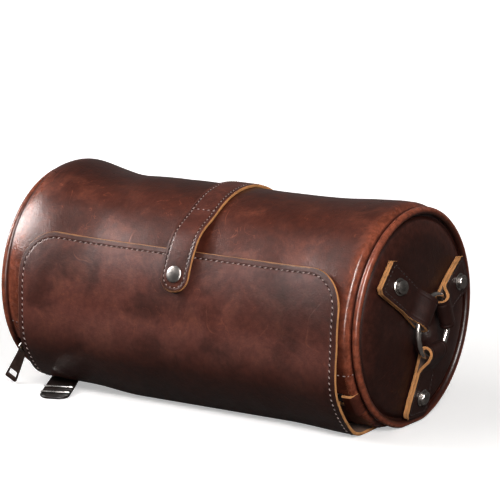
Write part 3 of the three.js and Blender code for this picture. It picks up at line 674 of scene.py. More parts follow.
def stitch_tree():
    """Slanted stitches along every line of the base mesh."""
    tree, wiring, given = tree_with("Slanted stitches", [
        ("Pitch", FLOAT, 4 * MM), ("Length", FLOAT, 2.8 * MM), ("Radius", FLOAT, 0.4 * MM), ("Slant", FLOAT, 0.2),
        ("Seed", "NodeSocketInt", 3), ("Material", "NodeSocketMaterial", None)])
    points, upright = spaced_along(wiring, given)
    ball = wiring.add("GeometryNodeMeshUVSphere", {"Segments": 8, "Rings": 6, "Radius": 1.0})
    size = wiring.add("ShaderNodeCombineXYZ", {"X": wiring.times(given["Length"], 0.5), "Y": given["Radius"],
                                               "Z": given["Radius"]})
    knot = wiring.add("GeometryNodeTransform", {"Geometry": ball.outputs[0], "Scale": size.outputs[0]})
    lean = wiring.add("ShaderNodeCombineXYZ", {"Z": given["Slant"]})
    by = wiring.add("FunctionNodeEulerToRotation", {0: lean.outputs[0]})
    turned = wiring.add("FunctionNodeRotateRotation", {0: upright, 1: by.outputs[0]}, rotation_space="LOCAL")
    vary = wiring.add("FunctionNodeRandomValue", {"Min": (0.86, 0.9, 0.9), "Max": (1.08, 1.1, 1.1),
                      "Seed": given["Seed"]}, data_type="FLOAT_VECTOR")
    return close_tree(tree, wiring, given["Material"], Points=points, Instance=knot.outputs[0],
                      Rotation=turned.outputs[0], Scale=vary.outputs[0])


def tooth_tree():
    """Rounded zip teeth along the base mesh's line."""
    tree, wiring, given = tree_with("Zip teeth", [
        ("Pitch", FLOAT, 2.5 * MM), ("Size", "NodeSocketVector", (1.5 * MM, 3 * MM, 2.6 * MM)),
        ("Material", "NodeSocketMaterial", None)])
    points, upright = spaced_along(wiring, given)
    block = wiring.add("GeometryNodeMeshCube", {"Size": given["Size"]})
    tooth = wiring.add("GeometryNodeSubdivisionSurface", {"Mesh": block.outputs[0], "Level": 1, "Edge Crease": 0.55})
    return close_tree(tree, wiring, given["Material"], Points=points, Instance=tooth.outputs[0], Rotation=upright)


def fitting_tree():
    """One fitting on every point of the base mesh, standing along the out attribute."""
    tree, wiring, given = tree_with("Fittings on points", [
        ("Fitting", "NodeSocketObject", None), ("Material", "NodeSocketMaterial", None)])
    source = wiring.add("GeometryNodeObjectInfo", {"Object": given["Fitting"]})
    upright = wiring.add("FunctionNodeAlignRotationToVector", {"Vector": out_attribute(wiring)}, axis="Z")
    return close_tree(tree, wiring, given["Material"], Points=given["Path"], Instance=source.outputs["Geometry"],
                      Rotation=upright.outputs[0])


TREES = {"stitches": stitch_tree, "teeth": tooth_tree, "fittings": fitting_tree}
grown_trees = {}


def repeat_on(name, runs, kind, values):
    """Runs one of the trees along lines of (points, outward directions) and keeps a plain mesh."""
    if kind not in grown_trees:
        grown_trees[kind] = TREES[kind]()
    tree = grown_trees[kind]
    points, out, edges = [], [], []
    for line, ups in runs:
        start = len(points)
        points.extend(tuple(p) for p in line)
        out.extend(tuple(u) for u in ups)
        edges.extend((start + k, start + k + 1) for k in range(len(line) - 1))
    mesh = bpy.data.meshes.new(name)
    mesh.from_pydata(points, edges if kind != "fittings" else [], [])
    mesh.attributes.new("out", "FLOAT_VECTOR", "POINT").data.foreach_set("vector", np.ravel(out))
    piece = link(bpy.data.objects.new(name, mesh))
    modifier = piece.modifiers.new("Repeat", "NODES")
    modifier.node_group = tree
    for item in tree.interface.items_tree:
        if item.in_out == "INPUT" and item.name in values:
            modifier[item.identifier] = values[item.name]
    result = evaluated_mesh(piece)
    piece.modifiers.remove(modifier)
    piece.data = result
    bpy.data.meshes.remove(mesh)
    if not result.polygons:
        raise RuntimeError(name + " came out empty")
    return piece


def path_on(face, x, angle, depth):
    """Points and outward directions along a line on one of the leather faces."""
    x, angle = np.broadcast_arrays(np.asarray(x, float), np.asarray(angle, float))
    step, turn_step = 0.4 * MM, 0.4
    points = face(x, angle, depth)
    across = face(x + step, angle, depth) - face(x - step, angle, depth)
    up = face(x, angle + turn_step, depth) - face(x, angle - turn_step, depth)
    out = np.cross(across, up)
    return points, out / np.linalg.norm(out, axis=-1, keepdims=True)


HOLE_DEPTH = 1.15


def between(line, out, pitch, thick):
    """The run half a stitch on from another and just under its surface, for the holes between its stitches."""
    line, out = np.asarray(line, float), np.asarray(out, float)
    gone = np.concatenate([[0], np.cumsum(np.linalg.norm(np.diff(line, axis=0), axis=1))])
    half = gone[-1] / max(1, int(gone[-1] / pitch)) / 2
    at = np.concatenate([[half], gone[(gone > half) & (gone < gone[-1] - half)], [gone[-1] - half]])
    spots, ups = (np.stack([np.interp(at, gone, row[:, k]) for k in range(3)], -1) for row in (line, out))
    return spots - ups * thick * HOLE_DEPTH, ups


# Materials


COLOUR, FLOAT = "NodeSocketColor", "NodeSocketFloat"


class Wiring:
    """Adds nodes to a tree and feeds their inputs from plain values or from other nodes' sockets."""

    def __init__(self, tree):
        self.tree = tree

    def add(self, kind, inputs=None, **settings):
        node = self.tree.nodes.new(kind)
        for key, value in settings.items():
            setattr(node, key, value)
        for key, value in (inputs or {}).items():
            if isinstance(value, bpy.types.NodeSocket):
                self.tree.links.new(value, node.inputs[key])
            else:
                node.inputs[key].default_value = value
        return node

    def math(self, operation, a, b=0.0):
        return self.add("ShaderNodeMath", {0: a, 1: b}, operation=operation).outputs[0]

    def plus(self, a, b):
        return self.math("ADD", a, b)

    def minus(self, a, b):
        return self.math("SUBTRACT", a, b)

    def times(self, a, b):
        return self.math("MULTIPLY", a, b)

    def larger(self, a, b):
        return self.math("MAXIMUM", a, b)

    def apart(self, a, b):
        return self.math("ABSOLUTE", self.minus(a, b))

    def span(self, value, low, high, to_low=0.0, to_high=1.0):
        return self.add("ShaderNodeMapRange", {"Value": value, "From Min": low, "From Max": high,
                        "To Min": to_low, "To Max": to_high}, interpolation_type="SMOOTHSTEP").outputs[0]

    def mix(self, share, a, b):
        return self.add("ShaderNodeMix", {0: share, 6: a, 7: b}, data_type="RGBA").outputs[2]

    def scaled(self, vector, by):
        return self.add("ShaderNodeVectorMath", {0: vector, "Scale": by}, operation="SCALE").outputs[0]

    def noise(self, place, scale, detail=4.0, rough=0.55, warp=0.0, output="Fac"):
        return self.add("ShaderNodeTexNoise", {"Vector": place, "Scale": scale, "Detail": detail,
                        "Roughness": rough, "Distortion": warp}).outputs[output]

    def place(self):
        return self.add("ShaderNodeTexCoord").outputs["Object"]

    def attribute(self, name):
        return self.add("ShaderNodeAttribute", attribute_name=name).outputs["Fac"]

    def seen(self, in_gloss):
        """1 where the camera looks, and a share of that in glossy reflections."""
        path = self.add("ShaderNodeLightPath").outputs
        direct = self.larger(path["Is Camera Ray"], path["Is Transmission Ray"])
        return self.larger(direct, self.times(path["Is Glossy Ray"], in_gloss))

    def looks(self, colour, rough, height):
        self.add("NodeGroupOutput", {"Color": colour, "Roughness": rough, "Height": height})
        return self.tree


def emptied(data):
    """Wiring for a material or world with no nodes left in it."""
    data.use_nodes = True
    data.node_tree.nodes.clear()
    return Wiring(data.node_tree)


def group_with(name, *inputs):
    """A shader group that gives a colour, a roughness and a height."""
    tree = bpy.data.node_groups.new(name, "ShaderNodeTree")
    for label, kind, default in inputs:
        tree.interface.new_socket(label, in_out="INPUT", socket_type=kind).default_value = default
    for label, kind in (("Color", COLOUR), ("Roughness", FLOAT), ("Height", FLOAT)):
        tree.interface.new_socket(label, in_out="OUTPUT", socket_type=kind)
    wiring = Wiring(tree)
    return wiring, wiring.add("NodeGroupInput").outputs


def oiled_leather_group():
    """Pull-up leather: clouds, mottling, scuffs, rubbed places, painted light and shade, pressed margins, grain and
    creases.
    """
    w, given = group_with(
        "Oiled leather", ("Base", COLOUR, (0.1, 0.03, 0.02, 1)), ("Light", COLOUR, (0.25, 0.08, 0.05, 1)),
        ("Dark", COLOUR, (0.03, 0.01, 0.006, 1)), ("Clouds", FLOAT, 1.0), ("Gloss", FLOAT, 0.4),
        ("Groove", FLOAT, 0.0), ("Edge", COLOUR, (0.4, 0.18, 0.07, 1)))
    base, light, dark, clouds, groove = (given[k] for k in ("Base", "Light", "Dark", "Clouds", "Groove"))
    wear_and_painted_light, edge = w.attribute("wear_and_painted_light"), w.attribute("edge")
    worn_and_lit = w.larger(wear_and_painted_light, 0.0)

    # Patterns, most of them on a place that drifts
    place = w.place()
    drift = w.noise(place, 16.0, 3.0, 0.5, output="Color")
    shift = w.add("ShaderNodeVectorMath", {0: drift, 1: (0.5, 0.5, 0.5)}, operation="SUBTRACT").outputs[0]
    bent = w.add("ShaderNodeVectorMath", {0: place, 1: w.scaled(shift, 0.03)}, operation="ADD").outputs[0]
    cloud = w.noise(bent, 26.0, 6.0, 0.6)
    second = w.noise(bent, 47.0, 5.0, 0.62, 0.6)
    mottle = w.noise(place, 210.0, 5.0, 0.7)
    lines = w.apart(w.noise(bent, 20.0, 1.5, 0.5), 0.5)
    wisp = w.times(w.span(lines, 0.0, 0.008, 1.0, 0.0), w.span(w.noise(place, 34.0, 3.0), 0.5, 0.66))
    hairs = w.apart(w.noise(bent, 74.0, 2.0, 0.5, 1.2), 0.5)
    hair = w.times(w.span(hairs, 0.0, 0.014, 1.0, 0.0), w.span(w.noise(place, 52.0, 2.0), 0.5, 0.66))
    pore = w.add("ShaderNodeTexVoronoi", {"Vector": place, "Scale": 980.0}, feature="SMOOTH_F1").outputs["Distance"]
    crease = w.noise(bent, 330.0, 4.0, 0.6, 0.4)
    grooved = w.math("GREATER_THAN", groove, 0.0)
    # Stitch groove and the margin beside it, darkened below: partly the pressed leather's own tone, partly painted
    # shade
    channel = w.times(w.span(w.apart(edge, groove), 0.0, 1.1 * MM, 1.0, 0.0), grooved)
    margin = w.times(w.span(w.minus(edge, groove), -0.6 * MM, 0.2 * MM, 0.45, 0.0), grooved)

    # Colour
    tone = w.mix(w.times(w.span(cloud, 0.55, 0.38), w.times(clouds, 0.65)), base, dark)
    tone = w.mix(w.times(w.span(second, 0.5, 0.72), w.times(clouds, 0.4)), tone, light)
    tone = w.mix(w.times(w.plus(wisp, w.times(hair, 0.9)), 0.5), tone, light)
    # Lighter where the attribute is above nothing: rubbed leather, and painted light on the barrel's ends, the piping's
    # crest and the discs' rims
    tone = w.mix(w.times(worn_and_lit, w.span(mottle, 0.25, 0.7, 0.45, 1.0)), tone, light)
    # Darker where it is below nothing: painted shade low on the flap and at its upper right, on top of the barrel, in
    # the end seams and grooves, and low on the discs
    tone = w.mix(w.larger(w.times(wear_and_painted_light, -1.0), 0.0), tone, dark)
    tone = w.mix(w.span(edge, 0.4 * MM, 2.2 * MM, 0.5, 0.0), tone, dark)
    rubbed = w.times(w.span(edge, 0.2 * MM, 1.1 * MM, 0.7, 0.0), w.span(second, 0.36, 0.54))
    tone = w.mix(rubbed, tone, given["Edge"])
    tone = w.scaled(tone, w.span(mottle, 0.3, 0.72, 0.8, 1.22))
    # Painted shade in the stitch groove and on the pressed margin, over the pressed leather's own darker tone
    tone = w.mix(w.times(channel, 0.5), tone, dark)
    tone = w.mix(margin, tone, dark)

    # Roughness and height
    rough = w.plus(given["Gloss"], w.times(w.minus(second, 0.5), 0.3))
    rough = w.minus(w.plus(rough, w.times(wisp, 0.08)), w.times(worn_and_lit, 0.1))
    height = w.plus(w.times(pore, 0.34), w.times(crease, 0.75))
    height = w.minus(w.minus(height, w.times(wisp, 0.2)), w.times(channel, 1.6))
    return w.looks(tone, rough, height)


def fibre_group():
    """Cut leather: matted fibres in uneven bands."""
    w, given = group_with("Leather fibres", ("Base", COLOUR, (0.5, 0.23, 0.09, 1)))
    place, base = w.place(), given["Base"]
    band = w.noise(place, 120.0, 3.0, 0.6)
    fuzz = w.noise(place, 1500.0, 4.0, 0.7, 0.5)
    dim = w.scaled(base, 0.42)
    tone = w.mix(w.span(band, 0.3, 0.6, 0.55, 0.0), base, dim)
    tone = w.mix(w.span(fuzz, 0.5, 0.8, 0.0, 0.6), tone, w.scaled(base, 1.2))
    tone = w.mix(w.span(fuzz, 0.45, 0.2, 0.0, 0.5), tone, dim)
    return w.looks(tone, w.span(fuzz, 0.3, 0.7, 0.95, 0.7), w.plus(fuzz, w.times(band, 0.5)))


def weave_group():
    """Crossed threads: bands along X and across it."""
    w, given = group_with("Plain weave", ("Base", COLOUR, (0.04, 0.03, 0.03, 1)), ("Threads", FLOAT, 900.0))
    place = w.place()
    axis = w.add("ShaderNodeSeparateXYZ", {0: place}).outputs
    turns = w.times(given["Threads"], 2 * math.pi)
    warp = w.math("SINE", w.times(axis["X"], turns))
    weft = w.math("SINE", w.times(w.plus(axis["Y"], w.times(axis["Z"], 0.9)), turns))
    height = w.times(warp, weft)
    slub = w.noise(place, 260.0, 3.0)
    dim = w.times(w.span(height, -1.0, 1.0, 0.55, 1.3), w.span(slub, 0.3, 0.7, 0.75, 1.25))
    return w.looks(w.scaled(given["Base"], dim), w.span(slub, 0.3, 0.7, 0.95, 0.8), height)


def plating_group():
    """Dark plating with faint clouds, fine rubs and a few brighter spots."""
    w, given = group_with("Dark plating", ("Base", COLOUR, (0.2, 0.19, 0.18, 1)), ("Rough", FLOAT, 0.28))
    place = w.place()
    cloud = w.noise(place, 180.0, 4.0, 0.6)
    stretch = w.add("ShaderNodeMapping", {"Vector": place, "Scale": (400.0, 2600.0, 1500.0),
                    "Rotation": (0.3, 0.2, 0.5)}).outputs[0]
    rub = w.noise(stretch, 1.0, 3.0, 0.7)
    dim = w.times(w.span(cloud, 0.4, 0.7, 0.9, 1.35), w.span(rub, 0.6, 0.8, 1.0, 0.7))
    rough = w.plus(given["Rough"], w.times(w.minus(cloud, 0.5), 0.25))
    return w.looks(w.scaled(given["Base"], dim), rough, rub)


GROUPS = {"leather": oiled_leather_group, "fibre": fibre_group, "weave": weave_group, "plating": plating_group}
made_groups = {}


def material_from(name, kind, inputs, bump, distance, **shader):
    """A material whose colour, roughness and height come from one of the shared groups."""
    found = bpy.data.materials.get(name)
    if found:
        return found
    if kind not in made_groups:
        made_groups[kind] = GROUPS[kind]()
    material = bpy.data.materials.new(name)
    w = emptied(material)
    source = w.add("ShaderNodeGroup", node_tree=made_groups[kind])
    for key, value in inputs.items():
        source.inputs[key].default_value = value
    relief = w.add("ShaderNodeBump", {"Strength": bump, "Distance": distance, "Height": source.outputs["Height"]})
    surface = w.add("ShaderNodeBsdfPrincipled", {"Base Color": source.outputs["Color"],
                    "Roughness": source.outputs["Roughness"], "Normal": relief.outputs[0], **shader})
    w.add("ShaderNodeOutputMaterial", {"Surface": surface.outputs[0]})
    return material


def rgba(colour):
    return (*colour, 1.0)


def leather(name, base, light=None, clouds=1.0, gloss=0.4, groove=0.0, coat=0.0, edge=None, shine=0.18):
    c = colours()
    inputs = {"Base": rgba(base), "Light": rgba(light or c.pulled), "Dark": rgba(c.shaded), "Clouds": clouds,
              "Gloss": gloss, "Groove": groove, "Edge": rgba(edge or c.raw_edge)}
    return material_from(name, "leather", inputs, 0.5, 0.35 * MM,
                         **{"Coat Weight": coat, "Coat Roughness": 0.2, "Specular IOR Level": shine})


def wrap_leather():
    c = colours()
    return leather("Wrap leather", c.wrap, light=c.rubbed, clouds=0.55, gloss=0.33, shine=0.2)


def dark_leather(name, gloss, groove=0.0):
    """Leather of the end discs and ring tabs."""
    c = colours()
    # Its light colour, three times the base, also tints the painted highlight on the discs' rims
    return leather(name, c.disc, light=3 * Vector(c.disc), clouds=0.5, gloss=gloss, groove=groove)


def fibre(name, colour, bump, distance=0.25, **shader):
    return material_from(name, "fibre", {"Base": rgba(colour)}, bump, distance * MM, **shader)


def woven(name, colour, threads, bump=0.7, distance=0.2):
    return material_from(name, "weave", {"Base": rgba(colour), "Threads": threads}, bump, distance * MM)


def sewing_thread(name, colour):
    return woven(name, colour, 1500.0, 0.4, 0.1)


def plating(name="Gunmetal plating", rough=0.27, base=None):
    return material_from(name, "plating", {"Base": rgba(base or colours().gunmetal), "Rough": rough}, 0.05,
                         0.05 * MM, Metallic=1.0)


def suede():
    return fibre("Suede side", colours().suede, 0.6)


def dress_hide(piece, face):
    """Leather with a raw cut edge and a suede back."""
    raw = fibre("Raw leather edge", colours().raw_edge, 0.7, **{"Specular IOR Level": 0.1})
    return dress(piece, face, raw, suede())


def dress_alike(piece, material):
    """One material for a sheet's face, edge and back."""
    return dress(piece, material, material, material)


# Bodies that the pieces ride on, and where each soft piece turns between the shell and its moving body


def stand_askew(mesh):
    """Both ends of the soft barrel stand a little askew: their front edge goes left and their rear edge right."""
    points = np.empty(3 * len(mesh.vertices), np.float32)
    mesh.vertices.foreach_get("co", points)
    x, y, z = points.reshape(-1, 3).T
    out = np.hypot(y, z - sizes().axis_height)
    near_end = smooth((np.abs(x) - LEAN_START) / LEAN_LENGTH)
    near_rim = smooth((out - LEAN_INSIDE) / (LEAN_FULL - LEAN_INSIDE))
    points[0::3] += np.where(x > 0, RIGHT_LEAN, LEFT_LEAN) * y / sizes().radius * near_end * near_rim
    mesh.vertices.foreach_set("co", points)
    mesh.update()


def settle(piece, slot, body, *nodes):
    """Stands a shell piece askew, gives a piece its body and hides the CAD nodes that it stands for; the slot is not
    used.
    """
    if body == "shell":
        stand_askew(piece.data)
    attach(piece, body)
    if nodes:
        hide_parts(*nodes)
    return piece


def bend(piece, slot, body, turn_of, *nodes):
    """Bakes a piece's place into its mesh and hides the CAD nodes that it stands for; the slot and the body are not
    used, nor the turn that turn_of gives.
    """
    start, end = turn_of()
    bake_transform(piece)
    if nodes:
        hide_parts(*nodes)
    return piece


def flap_turn():
    return on_flap(0.0, BASE_SEAM, 0.0), on_flap(0.0, BEND_TOP, 0.0)


def strap_turn():
    return strap_face(0.0, STRAP_BEND + 5, 0.0), strap_face(0.0, STRAP_BEND - 5, 0.0)


def lip_turn():
    return on_barrel(0.0, LIP_TOP - 0.2, 0.0), on_barrel(0.0, LIP_TOP - 6, 0.0)


# Operators


class BagStep:
    bl_options = {"INTERNAL"}

    def execute(self, context):
        self.make()
        return {"FINISHED"}


PHOTO_SIDE = 500
CAMERA_TURN = math.radians(31.06)
CAMERA_RISE = math.radians(13.02)
CAMERA_ROLL = math.radians(0.56)
CAMERA_AWAY = 1.916
FOCAL_PIXELS = 2814
MIDDLE_PIXEL = (233.4, 291.3)
SENSOR = 36.0

# Area lamps: name, direction from the bag, distance, size, watts, colour and the only kind of light that each gives
WARM, PALE = (1.0, 0.97, 0.95), (1.0, 0.98, 0.97)
LAMPS = (
    ("Key lamp", (-0.5, -0.55, 0.67), 1.6, (1.3, 1.3), 13, WARM, "diffuse"),
    ("Sheen", (-0.6, -0.58, 0.56), 1.83, (0.4, 1.1), 1.2, WARM, "glossy"),
    ("Top sheen", (-0.43, -0.23, 0.87), 0.88, (0.16, 0.35), 0.5, WARM, "glossy"),
    ("Left lamp", (-0.75, -0.5, 0.43), 1.12, (0.3, 0.3), 4.5, PALE, "diffuse"),
    ("Left glint", (-0.83, -0.28, 0.48), 1.12, (0.5, 0.5), 29, PALE, "glossy"),
    ("Right lamp", (0.62, -0.6, 0.5), 1.8, (0.5, 0.5), 21, WARM, "diffuse"),
    ("Right glint", (0.52, -0.62, 0.58), 1.8, (0.3, 1.0), 100, PALE, "glossy"),
    ("Low glint", (0.5, -0.85, 0.08), 1.7, (0.25, 0.5), 30, PALE, "glossy"),
    ("Back lamp", (0.1, 0.95, 0.25), 1.8, (1.2, 0.8), 9, WARM, "diffuse"))

FLOOR_HALF = 9.0
FLOOR_DIM = (0.05, 0.045, 0.04, 1)
FLOOR_PALE = ((0.86, 0.86, 0.86, 1), (0.9, 0.9, 0.9, 1))
SKY = (1.0, 0.97, 0.94, 1)
SKY_STRENGTH = 0.07
WHITE = (1, 1, 1, 1)


class BAG_OT_stage(BagStep, bpy.types.Operator):
    """Floor, soft lamps and the camera"""

    bl_idname = "toiletry_bag.stage"
    bl_label = "Stage"

    def camera(self):
        """The photograph's view, with its middle pixel off the middle of the picture."""
        back = Vector((math.sin(CAMERA_TURN) * math.cos(CAMERA_RISE), -math.cos(CAMERA_TURN) * math.cos(CAMERA_RISE),
                       math.sin(CAMERA_RISE)))
        level = Vector((math.cos(CAMERA_TURN), math.sin(CAMERA_TURN), 0))
        right = Matrix.Rotation(CAMERA_ROLL, 3, back) @ level
        up = back.cross(right)
        middle = Vector((0, 0, sizes().axis_height))
        metres = CAMERA_AWAY / FOCAL_PIXELS
        aim = middle + right * (PHOTO_SIDE / 2 - MIDDLE_PIXEL[0]) * metres
        aim += up * (MIDDLE_PIXEL[1] - PHOTO_SIDE / 2) * metres
        data = bpy.data.cameras.new("Camera")
        data.sensor_width = SENSOR
        data.lens = SENSOR * FOCAL_PIXELS / PHOTO_SIDE
        data.clip_end = 50
        camera = link(bpy.data.objects.new("Camera", data))
        camera.location = middle + back * CAMERA_AWAY
        away = (camera.location - aim).normalized()
        side = up.cross(away).normalized()
        camera.rotation_mode = "QUATERNION"
        camera.rotation_quaternion = Matrix((side, away.cross(side), away)).transposed().to_quaternion()
        bpy.context.scene.camera = camera

    def lamp(self, name, aim, away, size, watts, colour, only):
        data = bpy.data.lights.new(name, "AREA")
        data.shape = "RECTANGLE"
        data.energy = watts
        data.size, data.size_y = size
        data.color = colour
        lamp = link(bpy.data.objects.new(name, data))
        lamp.visible_glossy = only == "glossy"
        lamp.visible_diffuse = only == "diffuse"
        direction = Vector(aim).normalized()
        lamp.location = direction * away + Vector((0, 0, sizes().axis_height))
        lamp.rotation_euler = direction.to_track_quat("Z", "Y").to_euler()

    def floor(self):
        """A floor that is pale to the camera, glows white further out and throws little light on the bag."""
        mesh = bpy.data.meshes.new("Floor")
        corners = [(x * FLOOR_HALF, y * FLOOR_HALF, 0) for x, y in ((-1, -1), (1, -1), (1, 1), (-1, 1))]
        mesh.from_pydata(corners, [], [(0, 1, 2, 3)])
        floor = link(bpy.data.objects.new("Floor", mesh))
        material = bpy.data.materials.new("Pale floor")
        w = emptied(material)
        place = w.place()
        pale = w.mix(w.noise(place, 40.0, 3.0), *FLOOR_PALE)
        matt = w.add("ShaderNodeBsdfDiffuse", {"Color": w.mix(w.seen(0.15), FLOOR_DIM, pale)})
        away = w.add("ShaderNodeVectorMath", {0: place}, operation="LENGTH").outputs["Value"]
        camera_ray = w.add("ShaderNodeLightPath").outputs["Is Camera Ray"]
        glow = w.add("ShaderNodeEmission", {"Color": WHITE,
                     "Strength": w.times(camera_ray, w.span(away, 0.2, 1.0, 0.4, 1.0))})
        lit = w.add("ShaderNodeAddShader", {0: matt.outputs[0], 1: glow.outputs[0]})
        w.add("ShaderNodeOutputMaterial", {"Surface": lit.outputs[0]})
        dress(floor, material)

    def world(self):
        """White to the camera, a faint sky to all else."""
        world = bpy.data.worlds.new("Studio")
        w = emptied(world)
        soft = w.add("ShaderNodeBackground", {"Color": SKY, "Strength": SKY_STRENGTH})
        white = w.add("ShaderNodeBackground", {"Color": WHITE, "Strength": 1.0})
        both = w.add("ShaderNodeMixShader", {0: w.seen(0.1), 1: soft.outputs[0], 2: white.outputs[0]})
        w.add("ShaderNodeOutputWorld", {"Surface": both.outputs[0]})
        bpy.context.scene.world = world

    def make(self):
        bpy.context.scene.view_settings.view_transform = "Standard"
        self.camera()
        self.floor()
        for lamp in LAMPS:
            self.lamp(*lamp)
        self.world()


class BAG_OT_wrap(BagStep, bpy.types.Operator):
    """Leather wrap of the barrel, with the zip mouth cut out"""

    bl_idname = "toiletry_bag.wrap"
    bl_label = "Barrel wrap"

    END_STEPS = np.array([0, 0.5, 1.1, 1.9, 2.9, 4.1, 5.5, 6.95]) * MM
    MOUTH_ANGLES = (LOWER_EDGE, -38.3, -35.1, LIP_EDGE, -28.5, -25, -21.5)

    def wear_and_painted_light(self, x, angle):
        """Lighter towards the ends, partly rubbed leather and partly painted light; painted shade on top and in the end
        seams.
        """
        away, left = np.abs(x), x < 0
        # Lighter ends: rubbed leather and painted light, weaker at the left end
        rubbed = np.where(left, 0.6, 0.85) * smooth((away - 119 * MM) / (16 * MM))
        on_top = smooth((angle - 58) / 28) * smooth((125 - angle) / 30)
        # oiled is painted shade on top of the barrel, deeper over its left half
        oiled = (0.5 + 0.25 * smooth((30 * MM - x) / (60 * MM))) * on_top
        # The last term is painted shade in the end seams, weaker at the left end
        return rubbed - oiled - np.where(left, 0.7, 1.8) * smooth((away - 133.4 * MM) / (1.4 * MM))

    def mouth(self, xs, angles):
        """Which cells of the grid are leather: none where the lip is, nor in the zip's slot."""
        middle = (xs[1:] + xs[:-1]) / 2
        keep = np.ones((len(angles), len(middle)), bool)
        for i, a in enumerate(angles):
            if a < LIP_TOP - 0.01:
                keep[i] &= np.abs(middle) > sizes().lip_half
            if a < LIP_EDGE - 0.01:
                keep[i] &= middle > ZIP_SLOT_END
        return keep

    def joined(self, point):
        """Cut edges that are sewn to the end discs or carry on as the lip."""
        s = sizes()
        away = abs(point[0])
        lip_low = s.axis_height - s.radius * math.sin(math.radians(-LIP_TOP + 1))
        by_lip = away < s.lip_half - 0.5 * MM and point[2] > lip_low
        return away > s.half_length - MM or abs(away - s.lip_half) < 0.2 * MM or by_lip

    def make(self):
        s = sizes()
        side = np.concatenate([np.linspace(0, s.lip_half, 46), [ZIP_SLOT_END], s.half_length - self.END_STEPS[::-1]])
        xs = np.unique(np.concatenate([-side, side]).round(6))
        angles = np.concatenate([self.MOUTH_ANGLES, np.linspace(LIP_TOP, LOWER_EDGE + 360, 150)[:-1]])
        x, angle = np.meshgrid(xs, angles)
        inner = on_barrel(x, angle, saddle(x, angle) - s.leather, backing_radius)
        piece = sheet_piece("wrap_leather", wrap_face(x, angle, 0.0), inner, closed=True, keep=self.mouth(xs, angles),
                            joined=self.joined, wear_and_painted_light=self.wear_and_painted_light(x, angle))
        dress_hide(piece, wrap_leather())
        settle(piece, "leather_body", "shell", "body_wrap")


class BAG_OT_lip(BagStep, bpy.types.Operator):
    """Lip of the upper panel over the zip"""

    bl_idname = "toiletry_bag.lip"
    bl_label = "Zip lip"

    def make(self):
        s = sizes()
        x, angle = np.meshgrid(np.linspace(-s.lip_half, s.lip_half, 91), np.linspace(LIP_EDGE, LIP_TOP, 17))
        low = s.axis_height - s.radius * math.sin(math.radians(-LIP_EDGE - 1))
        piece = sheet_piece("zip_lip_leather", wrap_face(x, angle, 0.0), wrap_face(x, angle, -s.leather),
                            joined=lambda p: p[2] > low, wear_and_painted_light=np.full(x.shape, 0.1))
        dress_hide(piece, wrap_leather())
        bend(piece, "leather_body", "lip", lip_turn, "zip_lip")


class BAG_OT_flap(BagStep, bpy.types.Operator):
    """Front flap and base panel in one hide"""

    bl_idname = "toiletry_bag.flap"
    bl_label = "Front flap"

    # The outer face is cut back a little, and the columns of points crowd towards the sides
    SKIVE = 0.1 * MM
    CROWD = math.pi / 2 * 0.82

    def wear_and_painted_light(self, x, angle, down):
        """Rubbed light along the top edge, with painted shade low down and at the upper right."""
        top = sizes().flap_corner * 0.6
        rubbed = 0.35 * smooth((top - down) / top)[:, None]
        # right marks the upper right; it and the lower flap, which turns towards the table, get painted shade
        right = smooth((x - 30 * MM) / (50 * MM)) * smooth((angle + 14) / 24)
        return rubbed - 0.85 * smooth((-4 - angle) / 28) - 0.55 * right

    def make(self):
        s = sizes()
        seam = flap_down(BASE_SEAM)
        down = np.concatenate([corner_steps(s.flap_corner, 18), np.arange(s.flap_corner + 2 * MM, seam, 1.9 * MM),
                               np.linspace(seam, flap_down(math.degrees(s.flap_back)), 36)])
        half = rounded_half(s.flap_half, s.flap_corner, down)
        across = np.sin(np.linspace(-1, 1, 111) * self.CROWD) / math.sin(self.CROWD)
        x = half[:, None] * across[None, :]
        angle = np.repeat(flap_angle(down)[:, None], x.shape[1], 1)
        outer_x = x - self.SKIVE * across[None, :]
        outer_down = (down + self.SKIVE * np.clip(1 - down / s.flap_corner, 0, 1))[:, None]
        piece = sheet_piece("flap_leather", flap_face(outer_x, flap_angle(outer_down), s.flap_leather),
                            flap_face(x, angle, 0.0), wear_and_painted_light=self.wear_and_painted_light(x, angle, down))
        dress_hide(piece, leather("Flap leather", colours().flap, groove=s.stitch_inset, shine=0.24))
        bend(piece, "leather_flap", "flap", flap_turn, "front_flap", "flap_bend", "base_panel")


class BAG_OT_strap(BagStep, bpy.types.Operator):
    """Closing strap with its round tip"""

    bl_idname = "toiletry_bag.strap"
    bl_label = "Closing strap"

    CROWN = 0.35 * MM
    SKIVE = 0.05 * MM
    PRESSED = 0.2 * MM
    RUBBED_TIP = 14 * MM

    def make(self):
        s = sizes()
        half, end = s.strap_width / 2, strap_length()
        along = np.concatenate([corner_steps(STRAP_TIP, 14), np.arange(STRAP_TIP + MM, end, 1.2 * MM), [end]])
        x = rounded_half(half, STRAP_TIP, along)[:, None] * np.linspace(-1, 1, 19)[None, :]
        angle = np.repeat(strap_angle(along)[:, None], x.shape[1], 1)
        crown = self.CROWN * (1 - (x / half) ** 2)
        outer = strap_face(x * (1 - self.SKIVE / half), angle, s.strap_leather - self.PRESSED + crown)
        wear_and_painted_light = 0.3 * smooth(1 - along / self.RUBBED_TIP)[:, None] + np.zeros_like(x)
        piece = sheet_piece("strap_leather", outer, strap_face(x, angle, 0.0), wear_and_painted_light=wear_and_painted_light, rounding=0.2)
        dress_hide(piece, leather("Strap leather", colours().strap, gloss=0.37, groove=2.5 * MM))
        bend(piece, "leather_body", "strap", strap_turn, "strap_tab", "strap_top")


